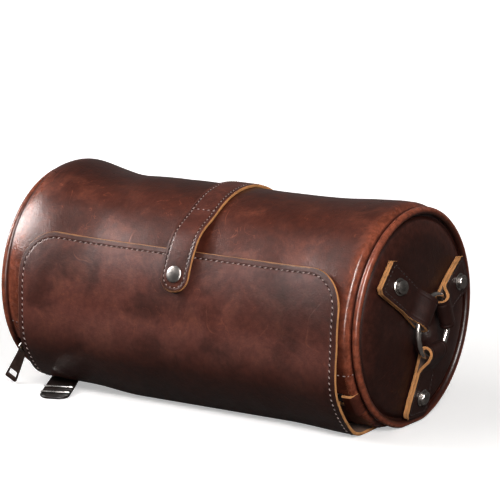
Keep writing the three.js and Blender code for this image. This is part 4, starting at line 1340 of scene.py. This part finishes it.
# Ends of the bag, in millimetres
DISC_RADIUS = 67.0
DISC_DOME = 9.0
DISC_RIM = 135.8
DISC_LEATHER = 2.2
DISC_HEM = 69.6
DISC_RINGS = (0.01, 5, 12, 20, 28, 36, 43, 49, 54, 58, 61, 63, 64.6, 65.8, 66.6, DISC_RADIUS, DISC_HEM)
DISC_WAVE = 0.45
TUCK = 2.2
TUCK_START = 63.5
HEM_STEP = 0.5
BOARD = 1.6
BOARD_GAP = 0.1
PIPING_RADIUS = 2.5
PIPING_RING = 70.9
PIPING_X = 137.7
PIPING_LOWEST = 69.8
SIDES = (("right", 1), ("left", -1))


def dome(r):
    """Height of the end disc over its rim, in millimetres, at a radius in millimetres."""
    return DISC_DOME * (1 - (r / DISC_RADIUS) ** 2)


def around_x(count):
    """Unit directions all the way round the barrel's axis, from the front over the top."""
    a = full_turn(count)
    return np.stack([0 * a, -np.cos(a), np.sin(a)], -1)


class BAG_OT_ends(BagStep, bpy.types.Operator):
    """Domed end discs and the piping round them"""

    bl_idname = "toiletry_bag.ends"
    bl_label = "End discs and piping"

    def disc(self, side, sign):
        r, t = np.meshgrid(DISC_RINGS, full_turn(96))
        y, z = r * np.cos(t), r * np.sin(t)
        tuck = TUCK * smooth((r - TUCK_START) / (DISC_RADIUS - TUCK_START)) ** 1.5
        x = DISC_RIM + DISC_LEATHER + np.maximum(dome(r), 0) - tuck + HEM_STEP * (r > DISC_RADIUS)
        points = np.stack([sign * x * MM, y * MM, sizes().axis_height + z * MM], -1)
        wave = ripple(points, 26 * MM, 4.0 + sign) * smooth((DISC_RADIUS - r) / 12)
        points[..., 0] += sign * DISC_WAVE * MM * wave
        inner = points.copy()
        inner[..., 0] = sign * (DISC_RIM + np.minimum(dome(r), x - DISC_RIM - 0.3)) * MM
        # Lighter towards the rim: pull-up wear and a painted highlight on the rolled rim; painted shade in the groove
        # by the piping and low on the disc
        wear_and_painted_light = 0.8 * smooth((r - 50) / 12) - 1.8 * smooth((r - 64.5) / 1.5) - 0.9 * smooth((-10 - z) / 35)
        piece = sheet_piece("end_disc_leather_" + side, points, inner, closed=True, wear_and_painted_light=wear_and_painted_light, joined=lambda p: True)
        face = dark_leather("Disc leather", 0.42)
        dress(piece, face, face, suede())
        settle(piece, "leather_body", "shell", "end_disc_" + side)

    def piping(self, side, sign):
        """A welt that is lighter on its outer crest, partly rubbed leather and partly a painted highlight, with painted
        shade where it lies in the grooves beside the wrap and the disc.
        """
        c, out, sides = colours(), around_x(180), 14
        lowest = PIPING_LOWEST / np.maximum(-out[:, 2:], 1e-6)
        centres = np.array([sign * PIPING_X * MM, 0, sizes().axis_height])
        centres = centres + out * np.minimum(PIPING_RING, lowest) * MM
        turns = full_turn(sides)
        tuck_shade = np.clip(np.maximum(np.cos(turns - 2.8), np.cos(turns + 1.9)), 0, 1)
        # Painted highlight and rubbing on the crest; painted shade in the grooves, weaker at the left end
        wear_and_painted_light = 0.9 * np.clip(np.cos(turns - 0.6), 0, 1) - (1.0 if sign > 0 else 0.4) * tuck_shade**2
        piece = cord_piece("piping_leather_" + side, centres, out, sign, PIPING_RADIUS * MM, sides, wear_and_painted_light)
        dress(piece, leather("Piping leather", c.wrap, light=c.rubbed, clouds=0.5, gloss=0.36, coat=0.06, shine=0.2))
        settle(piece, "leather_body", "shell", "piping_" + side)

    def make(self):
        for side, sign in SIDES:
            self.disc(side, sign)
            self.piping(side, sign)


# Ring tabs: angles in degrees round the end, lengths in millimetres
TAB_ANGLES = (26.0, 138.0, 269.0)
TAB_OUTER = 62.0
TAB_SEAT = 0.5
TAB_TAPER = 0.87
TAPER_LENGTH = 34
RING_DROP = 4.0
RING_CLEAR = 1.2
RUN_GAP = 0.45
RIVET_RADIUS = 48.0


def ring_heights():
    """Tab middle radius, its distance from the ring's wire and the ring's plane, in millimetres."""
    s = sizes()
    ring = s.ring_radius / MM
    middle = (ring + TAB_OUTER) / 2
    away = middle - ring
    seat = dome(middle) + 2 * DISC_DOME * middle / DISC_RADIUS**2 * away
    height = TAB_SEAT + s.tab_leather / MM + RING_CLEAR + s.ring_wire / 2 / MM
    return middle, away, seat, height


def tab_places(sign):
    """Seat of every tab on one end: X off the disc, Y outward; and its tilt."""
    middle, away, seat, _ = ring_heights()
    half_turn = Matrix.Rotation(math.pi if sign < 0 else 0, 4, "Z")
    lift = Matrix.Translation((0, 0, sizes().axis_height))
    for angle in TAB_ANGLES:
        a = math.radians(angle if sign > 0 else 180 - angle)
        y, z = middle * math.cos(a), middle * math.sin(a) - RING_DROP
        height = dome(math.hypot(y, z))
        tilt = math.atan((seat - height) / away)
        spot = Matrix.Translation(Vector((DISC_RIM + DISC_LEATHER + height, y, z)) * MM)
        yield lift @ half_turn @ spot @ Matrix.Rotation(a, 4, "X") @ Matrix.Rotation(tilt, 4, "Z"), tilt


def tab_line(tilt):
    """Middle line of a folded tab in its seat, as (outward, off the disc) in millimetres, where it is sewn, its end."""
    s = sizes()
    thick, wire = s.tab_leather / MM, s.ring_wire / MM
    middle, away, _, height = ring_heights()
    at = -away / math.cos(tilt) - height * math.sin(tilt)
    ring = s.ring_radius / MM
    lean = math.sqrt(1 - (s.tab_width / MM / 2 / ring) ** 2)
    room = wire + RING_CLEAR + 2 * RUN_GAP
    mid = TAB_SEAT + room / 2 + thick
    fold = at - ring * (1 - lean) - wire / 2 / lean - RING_CLEAR + room / 2
    sewn = at + wire / 2 + RUN_GAP + room + thick
    end = TAB_OUTER - middle
    bend_radius = room / 2 + thick / 2
    line = [(end - k, TAB_SEAT + thick / 2) for k in np.linspace(0, end - fold - 0.5, 16)]
    for a in np.radians(np.linspace(-90, -270, 13)):
        line.append((fold + bend_radius * math.cos(a), mid + bend_radius * math.sin(a)))
    top, low = mid + bend_radius, TAB_SEAT + 1.5 * thick + 0.05
    for k in np.linspace(0.12, 1, 12):
        line.append((fold + (sewn - fold) * k, top + (low - top) * float(smooth(k * 1.05 - 0.05))))
    line += [(sewn + (end - sewn) * k, low) for k in np.linspace(0.1, 1, 10)]
    return np.array(line), sewn, end


class BAG_OT_ring_tabs(BagStep, bpy.types.Operator):
    """Folded leather tabs that hold the rings"""

    bl_idname = "toiletry_bag.ring_tabs"
    bl_label = "Ring tabs"

    def tab(self, name, place, tilt):
        s = sizes()
        line, _, end = tab_line(tilt)
        step = np.gradient(line, axis=0)
        step /= np.linalg.norm(step, axis=1, keepdims=True)
        normal = np.stack([-step[:, 1], step[:, 0]], 1)
        from_end = end - line[:, 0]
        width = s.tab_width / 2 * (1 - (1 - TAB_TAPER) * smooth(from_end / TAPER_LENGTH))
        width = width * rounded_half(1.0, 0.16, np.clip(from_end / 12, 0, 1))
        across = width[:, None] * np.linspace(-1, 1, 15)[None, :]
        grids = []
        for shift in (-s.tab_leather / 2, s.tab_leather / 2):
            outward, off = (line * MM + normal * shift).T
            grid = np.stack([off[:, None] + 0 * across, outward[:, None] + 0 * across, across], -1)
            grids.append(moved(place, grid))
        piece = sheet_piece("ring_tab_leather_" + name, grids[1], grids[0], rounding=0.18)
        dress_hide(piece, dark_leather("Tab leather", 0.45, 2.6 * MM))
        settle(piece, "leather_body", "shell", "ring_tab_" + name)

    def make(self):
        for side, sign in SIDES:
            for i, (place, tilt) in enumerate(tab_places(sign), 1):
                self.tab(f"{side}_{i}", place, tilt)


class BAG_OT_fittings(BagStep, bpy.types.Operator):
    """Rings, rivets and the press snap"""

    bl_idname = "toiletry_bag.fittings"
    bl_label = "Metal fittings"

    # Profiles of (radius, height) in millimetres; the snap's heights are from the seat of each part
    RIVET = [(0, -2.2), (1.7, -2.2), (1.7, 0.0), (5.5, 0.0), (5.8, 0.2), (5.85, 0.7), (5.6, 1.0), (4.75, 1.05),
             (4.7, 1.3), (4.7, 2.9), (4.55, 3.25), (4.2, 3.4), (2, 3.5), (0, 3.52)]
    CAP = [(1.4, 0), (5.3, 0), (5.6, 0.15), (5.65, 0.55), (5.45, 0.85), (5.0, 1.05), (4.3, 1.27), (3.3, 1.5),
           (2.0, 1.68), (0.9, 1.75), (0, 1.76)]
    STUD_BACK = [(0, -0.5), (4.7, -0.5), (5.0, -0.25), (4.9, 0), (1.6, 0)]
    STUD_HEAD = [(1.6, 0.3), (2.2, 0.55), (2.2, 0.8), (1.6, 1.1), (0, 1.1)]
    RIVET_LIFT = 0.25

    def ring(self, side, sign):
        s = sizes()
        _, _, seat, height = ring_heights()
        plane = (DISC_RIM + DISC_LEATHER + seat + height) * MM
        out = around_x(96)
        centres = np.array([sign * plane, 0, s.axis_height - RING_DROP * MM]) + out * s.ring_radius
        piece = cord_piece("ring_metal_" + side, centres, out, 1, s.ring_wire / 2, 16)
        dress(piece, plating("Ring plating", 0.22, 2.4 * Vector(colours().gunmetal)))
        settle(piece, "dark_metal", "ring_" + side[0], "ring_" + side)

    def rivets(self, side, sign):
        head = TAB_SEAT + 2 * sizes().tab_leather / MM + self.RIVET_LIFT
        spot = Vector((head, RIVET_RADIUS - ring_heights()[0], 0)) * MM
        places = [place for place, _ in tab_places(sign)]
        points = [place @ spot for place in places]
        out = [(place.to_3x3() @ Vector((1, 0, 0))).normalized() for place in places]
        pattern = link(bpy.data.objects.new("rivet_pattern", turned_mesh("rivet_pattern", self.RIVET, 36)))
        piece = repeat_on("rivets_" + side, [(points, out)], "fittings",
                          {"Fitting": pattern, "Material": plating("Rivet plating", 0.24, colours().rivet)})
        bpy.data.objects.remove(pattern)
        piece.data.set_sharp_from_angle(angle=math.radians(35))
        settle(piece, "dark_metal", "shell", *[f"rivet_{side}_{i + 1}" for i in range(len(TAB_ANGLES))])

    def snap(self):
        s = sizes()
        place = out_of_barrel(SNAP_ANGLE, s.radius)
        raised = lambda profile, seat: [(r, seat + h) for r, h in profile]
        flap_out = (s.flap_lift + s.flap_leather) / MM
        strap_in = flap_out + SNAP_SPACE / MM
        neck = [(0, strap_in - 0.9), (1.4, strap_in - 0.9)]
        cap = neck + raised(self.CAP, strap_in + s.strap_leather / MM + 0.12)
        plate, rim = strap_in - 0.3, flap_out + 0.3
        socket = [(1.7, plate - 0.6), (4.0, plate - 0.6), (4.0, rim + 0.3), (4.3, rim), (4.9, rim), (5.2, rim + 0.3),
                  (5.2, plate), (1.7, plate), (1.7, plate - 0.6)]
        stud = raised(self.STUD_BACK, s.flap_lift / MM - 0.3) + raised(self.STUD_HEAD, flap_out)
        for name, profile, body in (("cap", cap, "strap"), ("socket", socket, "strap"), ("stud", stud, "flap")):
            piece = placed("snap_metal_" + name, turned_mesh("snap_" + name, profile), place)
            dress(piece, plating("Snap plating", 0.33) if name == "cap" else plating())
            settle(piece, "dark_metal", body, "snap_" + name)

    def make(self):
        for side, sign in SIDES:
            self.ring(side, sign)
            self.rivets(side, sign)
        self.snap()


class BAG_OT_zip(BagStep, bpy.types.Operator):
    """Zip tapes, teeth, slider, puller, stop and end cover"""

    bl_idname = "toiletry_bag.zip"
    bl_label = "Zip"

    TAPE_OUT, TAPE = 0.4 * MM, 0.8 * MM
    TOOTH = (1.5 * MM, 3.1 * MM, 2.5 * MM)
    TEETH_APART, TEETH_IN = 2.0 * MM, 1.2 * MM
    NECK, WIDE, TIP, SHOULDER, EYE = 3.1, 4.9, -25.5, -4.5, 1.9
    COVER, COVER_LOW, COVER_PARED = 2.2 * MM, -46.2, 5 * MM

    def tape(self, level, body):
        low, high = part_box("zip_tape_" + level)
        axis = sizes().axis_height
        start = math.degrees(math.atan2(low.z - axis, -high.y))
        stop = math.degrees(math.atan2(high.z - axis, -low.y))
        straight = lambda x: ZIP_RADIUS + self.TAPE_OUT + 0 * x
        x, angle = np.meshgrid(np.linspace(low.x, high.x, 100), np.linspace(start, stop, 8))
        piece = sheet_piece("zip_tape_cloth_" + level, on_barrel(x, angle, 0.0, straight),
                            on_barrel(x, angle, -self.TAPE, straight), rounding=0.1)
        dress_alike(piece, woven("Zip tape", colours().tape, 1100.0))
        settle(piece, "lining_fabric", body, "zip_tape_" + level)

    def teeth(self, level, body, sign):
        pitch = sizes().tooth_pitch
        low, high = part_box("zip_teeth_" + level)
        place = out_of_barrel(ZIP_ANGLE, ZIP_RADIUS)
        start = low.x + self.TEETH_IN + (0.0 if sign > 0 else pitch / 2)
        out = place.to_3x3() @ Vector((0, 0, 1))
        xs = np.linspace(start, high.x - self.TEETH_IN, 60)
        line = [place @ Vector((x, sign * self.TEETH_APART, 0)) for x in xs]
        piece = repeat_on("zip_teeth_metal_" + level, [(line, [out] * len(line))], "teeth",
                          {"Pitch": pitch, "Size": self.TOOTH, "Material": plating()})
        settle(piece, "dark_metal", body, "zip_teeth_" + level)

    def puller(self):
        """Tapered plate with an eye at its neck and a window near its tip, in millimetres."""
        round_eye = lambda radius, turns: [(radius * math.cos(a), radius * math.sin(a)) for a in turns]
        neck, wide, tip, shoulder = self.NECK, self.WIDE, self.TIP, self.SHOULDER
        top = round_eye(neck, np.linspace(0, math.pi, 13)[1:-1])
        outline = rounded([(-neck, 0), (-neck, shoulder), (-wide, tip), (wide, tip), (neck, shoulder), (neck, 0)], 1.5)
        window = rounded([(-3.2, tip + 7.4), (-3.5, tip + 3.0), (3.5, tip + 3.0), (3.2, tip + 7.4)], 1.2)
        mesh = plate_mesh("puller_plate", [top + outline, round_eye(self.EYE, full_turn(20)), window], 1.6, 0.25)
        place = Matrix.Translation(Vector(PULLER_EYE) * MM) @ Matrix.Rotation(math.radians(PULLER_TILT), 4, "Y")
        piece = placed("zip_puller_metal", mesh, place @ Matrix.Rotation(math.pi / 2, 4, "X"))
        dress(piece, plating("Puller plating", 0.42, colours().puller))
        settle(piece, "dark_metal", "puller", "zip_puller")

    def end_cover(self):
        """Leather over the end of the zip, pared thin towards the end seam."""
        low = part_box("zip_end_cover")[0].x
        seam = sizes().half_length - 0.4 * MM
        x, angle = np.meshgrid(np.linspace(low, seam, 14), np.linspace(self.COVER_LOW, LIP_EDGE - 0.5, 16))
        thick = self.COVER * (1 - 0.85 * smooth((x - seam + self.COVER_PARED) / (4.5 * MM)))
        piece = sheet_piece("zip_end_leather", wrap_face(x, angle, SEAM_GAP + thick), wrap_face(x, angle, SEAM_GAP))
        dress_hide(piece, wrap_leather())
        settle(piece, "leather_body", "shell", "zip_end_cover")

    def make(self):
        self.tape("upper", "lip")
        self.tape("lower", "shell")
        self.teeth("upper", "lip", 1)
        self.teeth("lower", "shell", -1)
        for node, body in (("zip_slider", "slider"), ("zip_stop", "shell")):
            piece = bevelled_copy(node + "_metal", node, 0.28 * MM)
            settle(dress(piece, plating()), "dark_metal", body, node)
        self.puller()
        self.end_cover()


class BAG_OT_lining(BagStep, bpy.types.Operator):
    """Woven lining inside the barrel and over the end boards"""

    bl_idname = "toiletry_bag.lining"
    bl_label = "Lining and boards"

    OUTER, INNER = -2.75 * MM, -3.5 * MM
    WAVE = 0.35 * MM
    ANGLES = (LIP_TOP + 0.6, 308.7)

    def tube(self, cloth):
        low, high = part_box("lining_tube")
        x, angle = np.meshgrid(np.linspace(low.x, high.x, 60), np.linspace(*self.ANGLES, 120))
        wave = self.WAVE * ripple(on_barrel(x, angle, 0.0), 22 * MM, 6.2) * off_the_base(angle)
        sunk = saddle(x, angle)
        piece = sheet_piece("lining_cloth", on_barrel(x, angle, sunk + self.OUTER),
                            on_barrel(x, angle, sunk + self.INNER + wave))
        dress_alike(piece, cloth)
        settle(piece, "lining_fabric", "shell", "lining_tube")

    def end(self, cloth, side, sign):
        low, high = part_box("end_lining_" + side)
        rings = np.concatenate([[1e-5], np.linspace(0.08, 1, 14)]) * (high.y - low.y) / 2
        r, t = np.meshgrid(rings, full_turn(72))
        place = lambda at: np.stack([at + 0 * r, r * np.cos(t), sizes().axis_height + r * np.sin(t)], -1)
        inward, outward = (low.x, high.x) if sign > 0 else (high.x, low.x)
        piece = sheet_piece("lining_disc_" + side, place(outward), place(inward), closed=True)
        dress_alike(piece, cloth)
        settle(piece, "lining_fabric", "shell", "end_lining_" + side)
        face = DISC_RIM + dome(r / MM) - BOARD_GAP
        piece = sheet_piece("stiff_board_" + side, place(sign * face * MM), place(sign * (face - BOARD) * MM),
                            closed=True)
        dress_alike(piece, fibre("Stiff board", colours().board, 0.4, 0.2))
        settle(piece, "stiff_board", "shell", "end_board_" + side)

    def make(self):
        cloth = woven("Lining cloth", colours().lining, 700.0)
        self.tube(cloth)
        for side, sign in SIDES:
            self.end(cloth, side, sign)


class BAG_OT_grip(BagStep, bpy.types.Operator):
    """Grip tab in front of the base seam, with its two bars"""

    bl_idname = "toiletry_bag.grip"
    bl_label = "Grip tab"

    # Turn in radians, the rest in millimetres
    TURN = math.radians(22.0)
    WIDTH, LENGTH, LEATHER, CORNER, ROOT = 20.0, 27.0, 1.9, 7, 9.0
    BARS_AT = (8, 19)
    BAR_SUNK = 0.25

    def droop(self, along):
        """Height of the tab's underside: sewn under the flap, falling to the table at its tip."""
        return 0.1 + 3.4 * ((self.LENGTH - along) / (self.LENGTH + self.ROOT)) ** 1.6

    def make(self):
        c, high = colours(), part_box("grip_tab")[1]
        sine, cosine = math.sin(self.TURN), math.cos(self.TURN)
        right = self.WIDTH / 2 * cosine + self.LENGTH * sine
        rear = self.WIDTH / 2 * sine
        place = Matrix.Translation((high.x - right * MM, high.y - rear * MM, 0)) @ Matrix.Rotation(self.TURN, 4, "Z")
        inward = np.concatenate([corner_steps(self.CORNER, 9), np.linspace(8, self.LENGTH + self.ROOT, 20)])
        along = (self.LENGTH - inward)[:, None]
        side = rounded_half(self.WIDTH / 2, self.CORNER, inward)[:, None] * np.linspace(-1, 1, 15)[None, :]
        root = (rear + 0.8 - side * sine) / cosine * (1 - along / self.LENGTH)
        grids = []
        for thick in (0.0, self.LEATHER):
            swell = 0.25 * np.sin(along / 5.0) * (thick > 0)
            grid = np.stack([side, root - along, self.droop(along) + thick + swell + 0 * side], -1) * MM
            grids.append(moved(place, grid))
        piece = sheet_piece("grip_tab_leather", grids[1], grids[0])
        dress_alike(piece, leather("Grip leather", c.grip, light=c.disc, clouds=0.4, gloss=0.45, edge=c.grip))
        settle(piece, "leather_body", "shell", "grip_tab")
        for i, at in enumerate(self.BARS_AT, 1):
            bar = bevelled_copy(f"grip_bar_metal_{i}", f"grip_bar_{i}", 0.2 * MM)
            bar.data.transform(Matrix.Translation((0, 0, (self.droop(at) - self.BAR_SUNK) * MM)))
            dress(bar, plating("Bar plating", 0.3, c.bars))
            settle(bar, "dark_metal", "shell", f"grip_bar_{i}")


class BAG_OT_stitching(BagStep, bpy.types.Operator):
    """Rows of stitches on the flap, base, strap, zip lip and ring tabs"""

    bl_idname = "toiletry_bag.stitching"
    bl_label = "Stitching"

    STITCH, HOLE, HOLE_WIDTH = 0.46, 0.6, 1.35
    BASE_ROW = 120 * MM
    STRAP_INSET = 2.6 * MM
    LIP_AT, LIP_ROW, WRAP_ROW = LIP_TOP - 2.2, 125.5 * MM, 127.5 * MM
    TAB_INSET = 2.7

    def rows(self, name, runs, thread, size=1.0, pitch=None, slant=0.2):
        """Threads along the runs, with near-black blobs between them as painted shade in the needle holes."""
        pitch = pitch or sizes().stitch_pitch
        thick = sizes().thread * size
        values = {"Pitch": pitch, "Length": pitch * self.STITCH, "Radius": thick, "Slant": slant, "Seed": 7,
                  "Material": thread}
        threads = repeat_on(name, runs, "stitches", values)
        # Painted shade: dull near-black blobs where the needle holes are
        hole = fibre("Needle hole shade", colours().needle_hole_shade, 0.2, 0.1, **{"Specular IOR Level": 0.0})
        gaps = [between(line, out, pitch, thick) for line, out in runs]
        values.update({"Length": pitch * self.HOLE, "Radius": thick * self.HOLE_WIDTH, "Material": hole})
        return threads, repeat_on(name + "_holes", gaps, "stitches", values)

    def flap_rows(self, thread):
        s = sizes()
        inset = s.stitch_inset
        sides = np.linspace(flap_down(BASE_SEAM + 4), s.flap_corner, 60)
        x, down = edge_run(s.flap_half - inset, s.flap_corner - inset, inset, sides, 14, 70)
        sunk = s.flap_leather + 0.05 * MM
        runs = [path_on(flap_face, x, flap_angle(down), sunk)]
        for seam in (BASE_SEAM + 3, BASE_SEAM - 2):
            runs.append(path_on(flap_face, np.linspace(-self.BASE_ROW, self.BASE_ROW, 90), seam, sunk))
        for piece in self.rows("flap_stitches", runs, thread, slant=0.5):
            bend(piece, "leather_flap", "flap", flap_turn)

    def strap_rows(self, thread):
        s = sizes()
        inset = self.STRAP_INSET
        half = s.strap_width / 2 - inset
        sides = np.linspace(strap_length() - inset, STRAP_TIP, 120)
        x, along = edge_run(half, STRAP_TIP - inset, inset, sides, 10, 2)
        runs = [path_on(strap_face, x, strap_angle(along), s.strap_leather)]
        for seam in (STRAP_BEND + 0.5, math.degrees(s.strap_back) - 2):
            runs.append(path_on(strap_face, np.linspace(-half, half, 14), seam, s.strap_leather + 0.12 * MM))
        for piece in self.rows("strap_stitches", runs, thread, 0.9, 3.3 * MM):
            bend(piece, "leather_body", "strap", strap_turn)

    def lip_rows(self, thread):
        """One row along the lip, which carries on over the wrap at both ends."""
        sunk = -0.02 * MM
        line = path_on(wrap_face, np.linspace(-self.LIP_ROW, self.LIP_ROW, 120), self.LIP_AT, sunk)
        for piece in self.rows("lip_stitches", [line], thread):
            bend(piece, "leather_body", "lip", lip_turn)
        x = np.linspace(self.WRAP_ROW, sizes().half_length - 1.5 * MM, 8)
        runs = [path_on(wrap_face, sign * x, self.LIP_AT, sunk) for sign in (-1, 1)]
        for piece in self.rows("wrap_stitches", runs, thread, pitch=2.6 * MM):
            settle(piece, "leather_body", "shell")

    def tab_run(self, place, tilt):
        """Round the three sewn sides of a ring tab."""
        s = sizes()
        _, sewn, end = tab_line(tilt)
        half = s.tab_width / MM / 2 - self.TAB_INSET
        rise = TAB_SEAT + 2 * s.tab_leather / MM + 0.02
        start, stop = sewn + 2, end - self.TAB_INSET
        corners = [(start, -half * 0.93), (stop, -half), (stop, half), (start, half * 0.93)]
        line = []
        for (y0, z0), (y1, z1) in zip(corners, corners[1:]):
            for k in np.linspace(0, 1, 12)[:-1]:
                line.append((rise, y0 + (y1 - y0) * k, z0 + (z1 - z0) * k))
        out = place.to_3x3() @ Vector((1, 0, 0))
        return [place @ (Vector(p) * MM) for p in line], [out] * len(line)

    def tab_rows(self, thread):
        for side, sign in SIDES:
            runs = [self.tab_run(place, tilt) for place, tilt in tab_places(sign)]
            for piece in self.rows("tab_stitches_" + side, runs, thread, 0.8, 3.2 * MM):
                settle(piece, "leather_body", "shell")

    def make(self):
        c = colours()
        light = sewing_thread("Pale thread", c.thread)
        self.flap_rows(light)
        self.strap_rows(light)
        self.lip_rows(light)
        self.tab_rows(sewing_thread("Dark thread", c.dark_thread))


STEPS = (BAG_OT_stage, BAG_OT_wrap, BAG_OT_lip, BAG_OT_flap, BAG_OT_strap, BAG_OT_ends, BAG_OT_ring_tabs,
         BAG_OT_fittings, BAG_OT_zip, BAG_OT_lining, BAG_OT_grip, BAG_OT_stitching)


class BAG_PT_panel(bpy.types.Panel):
    """Lists the steps that dress the bag, with its sizes and colours"""

    bl_idname = "BAG_PT_panel"
    bl_label = "Toiletry bag"
    bl_space_type = "VIEW_3D"
    bl_region_type = "UI"
    bl_category = "Toiletry bag"

    def draw(self, context):
        for step in STEPS:
            self.layout.operator(step.bl_idname)
        for group in (context.scene.bag_sizes, context.scene.bag_colours):
            column = self.layout.column()
            for name in group.__annotations__:
                column.prop(group, name)


CLASSES = (BagSizes, BagColours, *STEPS, BAG_PT_panel)


def register():
    for cls in CLASSES:
        bpy.utils.register_class(cls)
    bpy.types.Scene.bag_sizes = PointerProperty(type=BagSizes)
    bpy.types.Scene.bag_colours = PointerProperty(type=BagColours)


def unregister():
    del bpy.types.Scene.bag_colours
    del bpy.types.Scene.bag_sizes
    for cls in reversed(CLASSES):
        bpy.utils.unregister_class(cls)


def main():
    register()
    for step in STEPS:
        group, name = step.bl_idname.split(".")
        getattr(getattr(bpy.ops, group), name)()


if __name__ == "__main__":
    main()
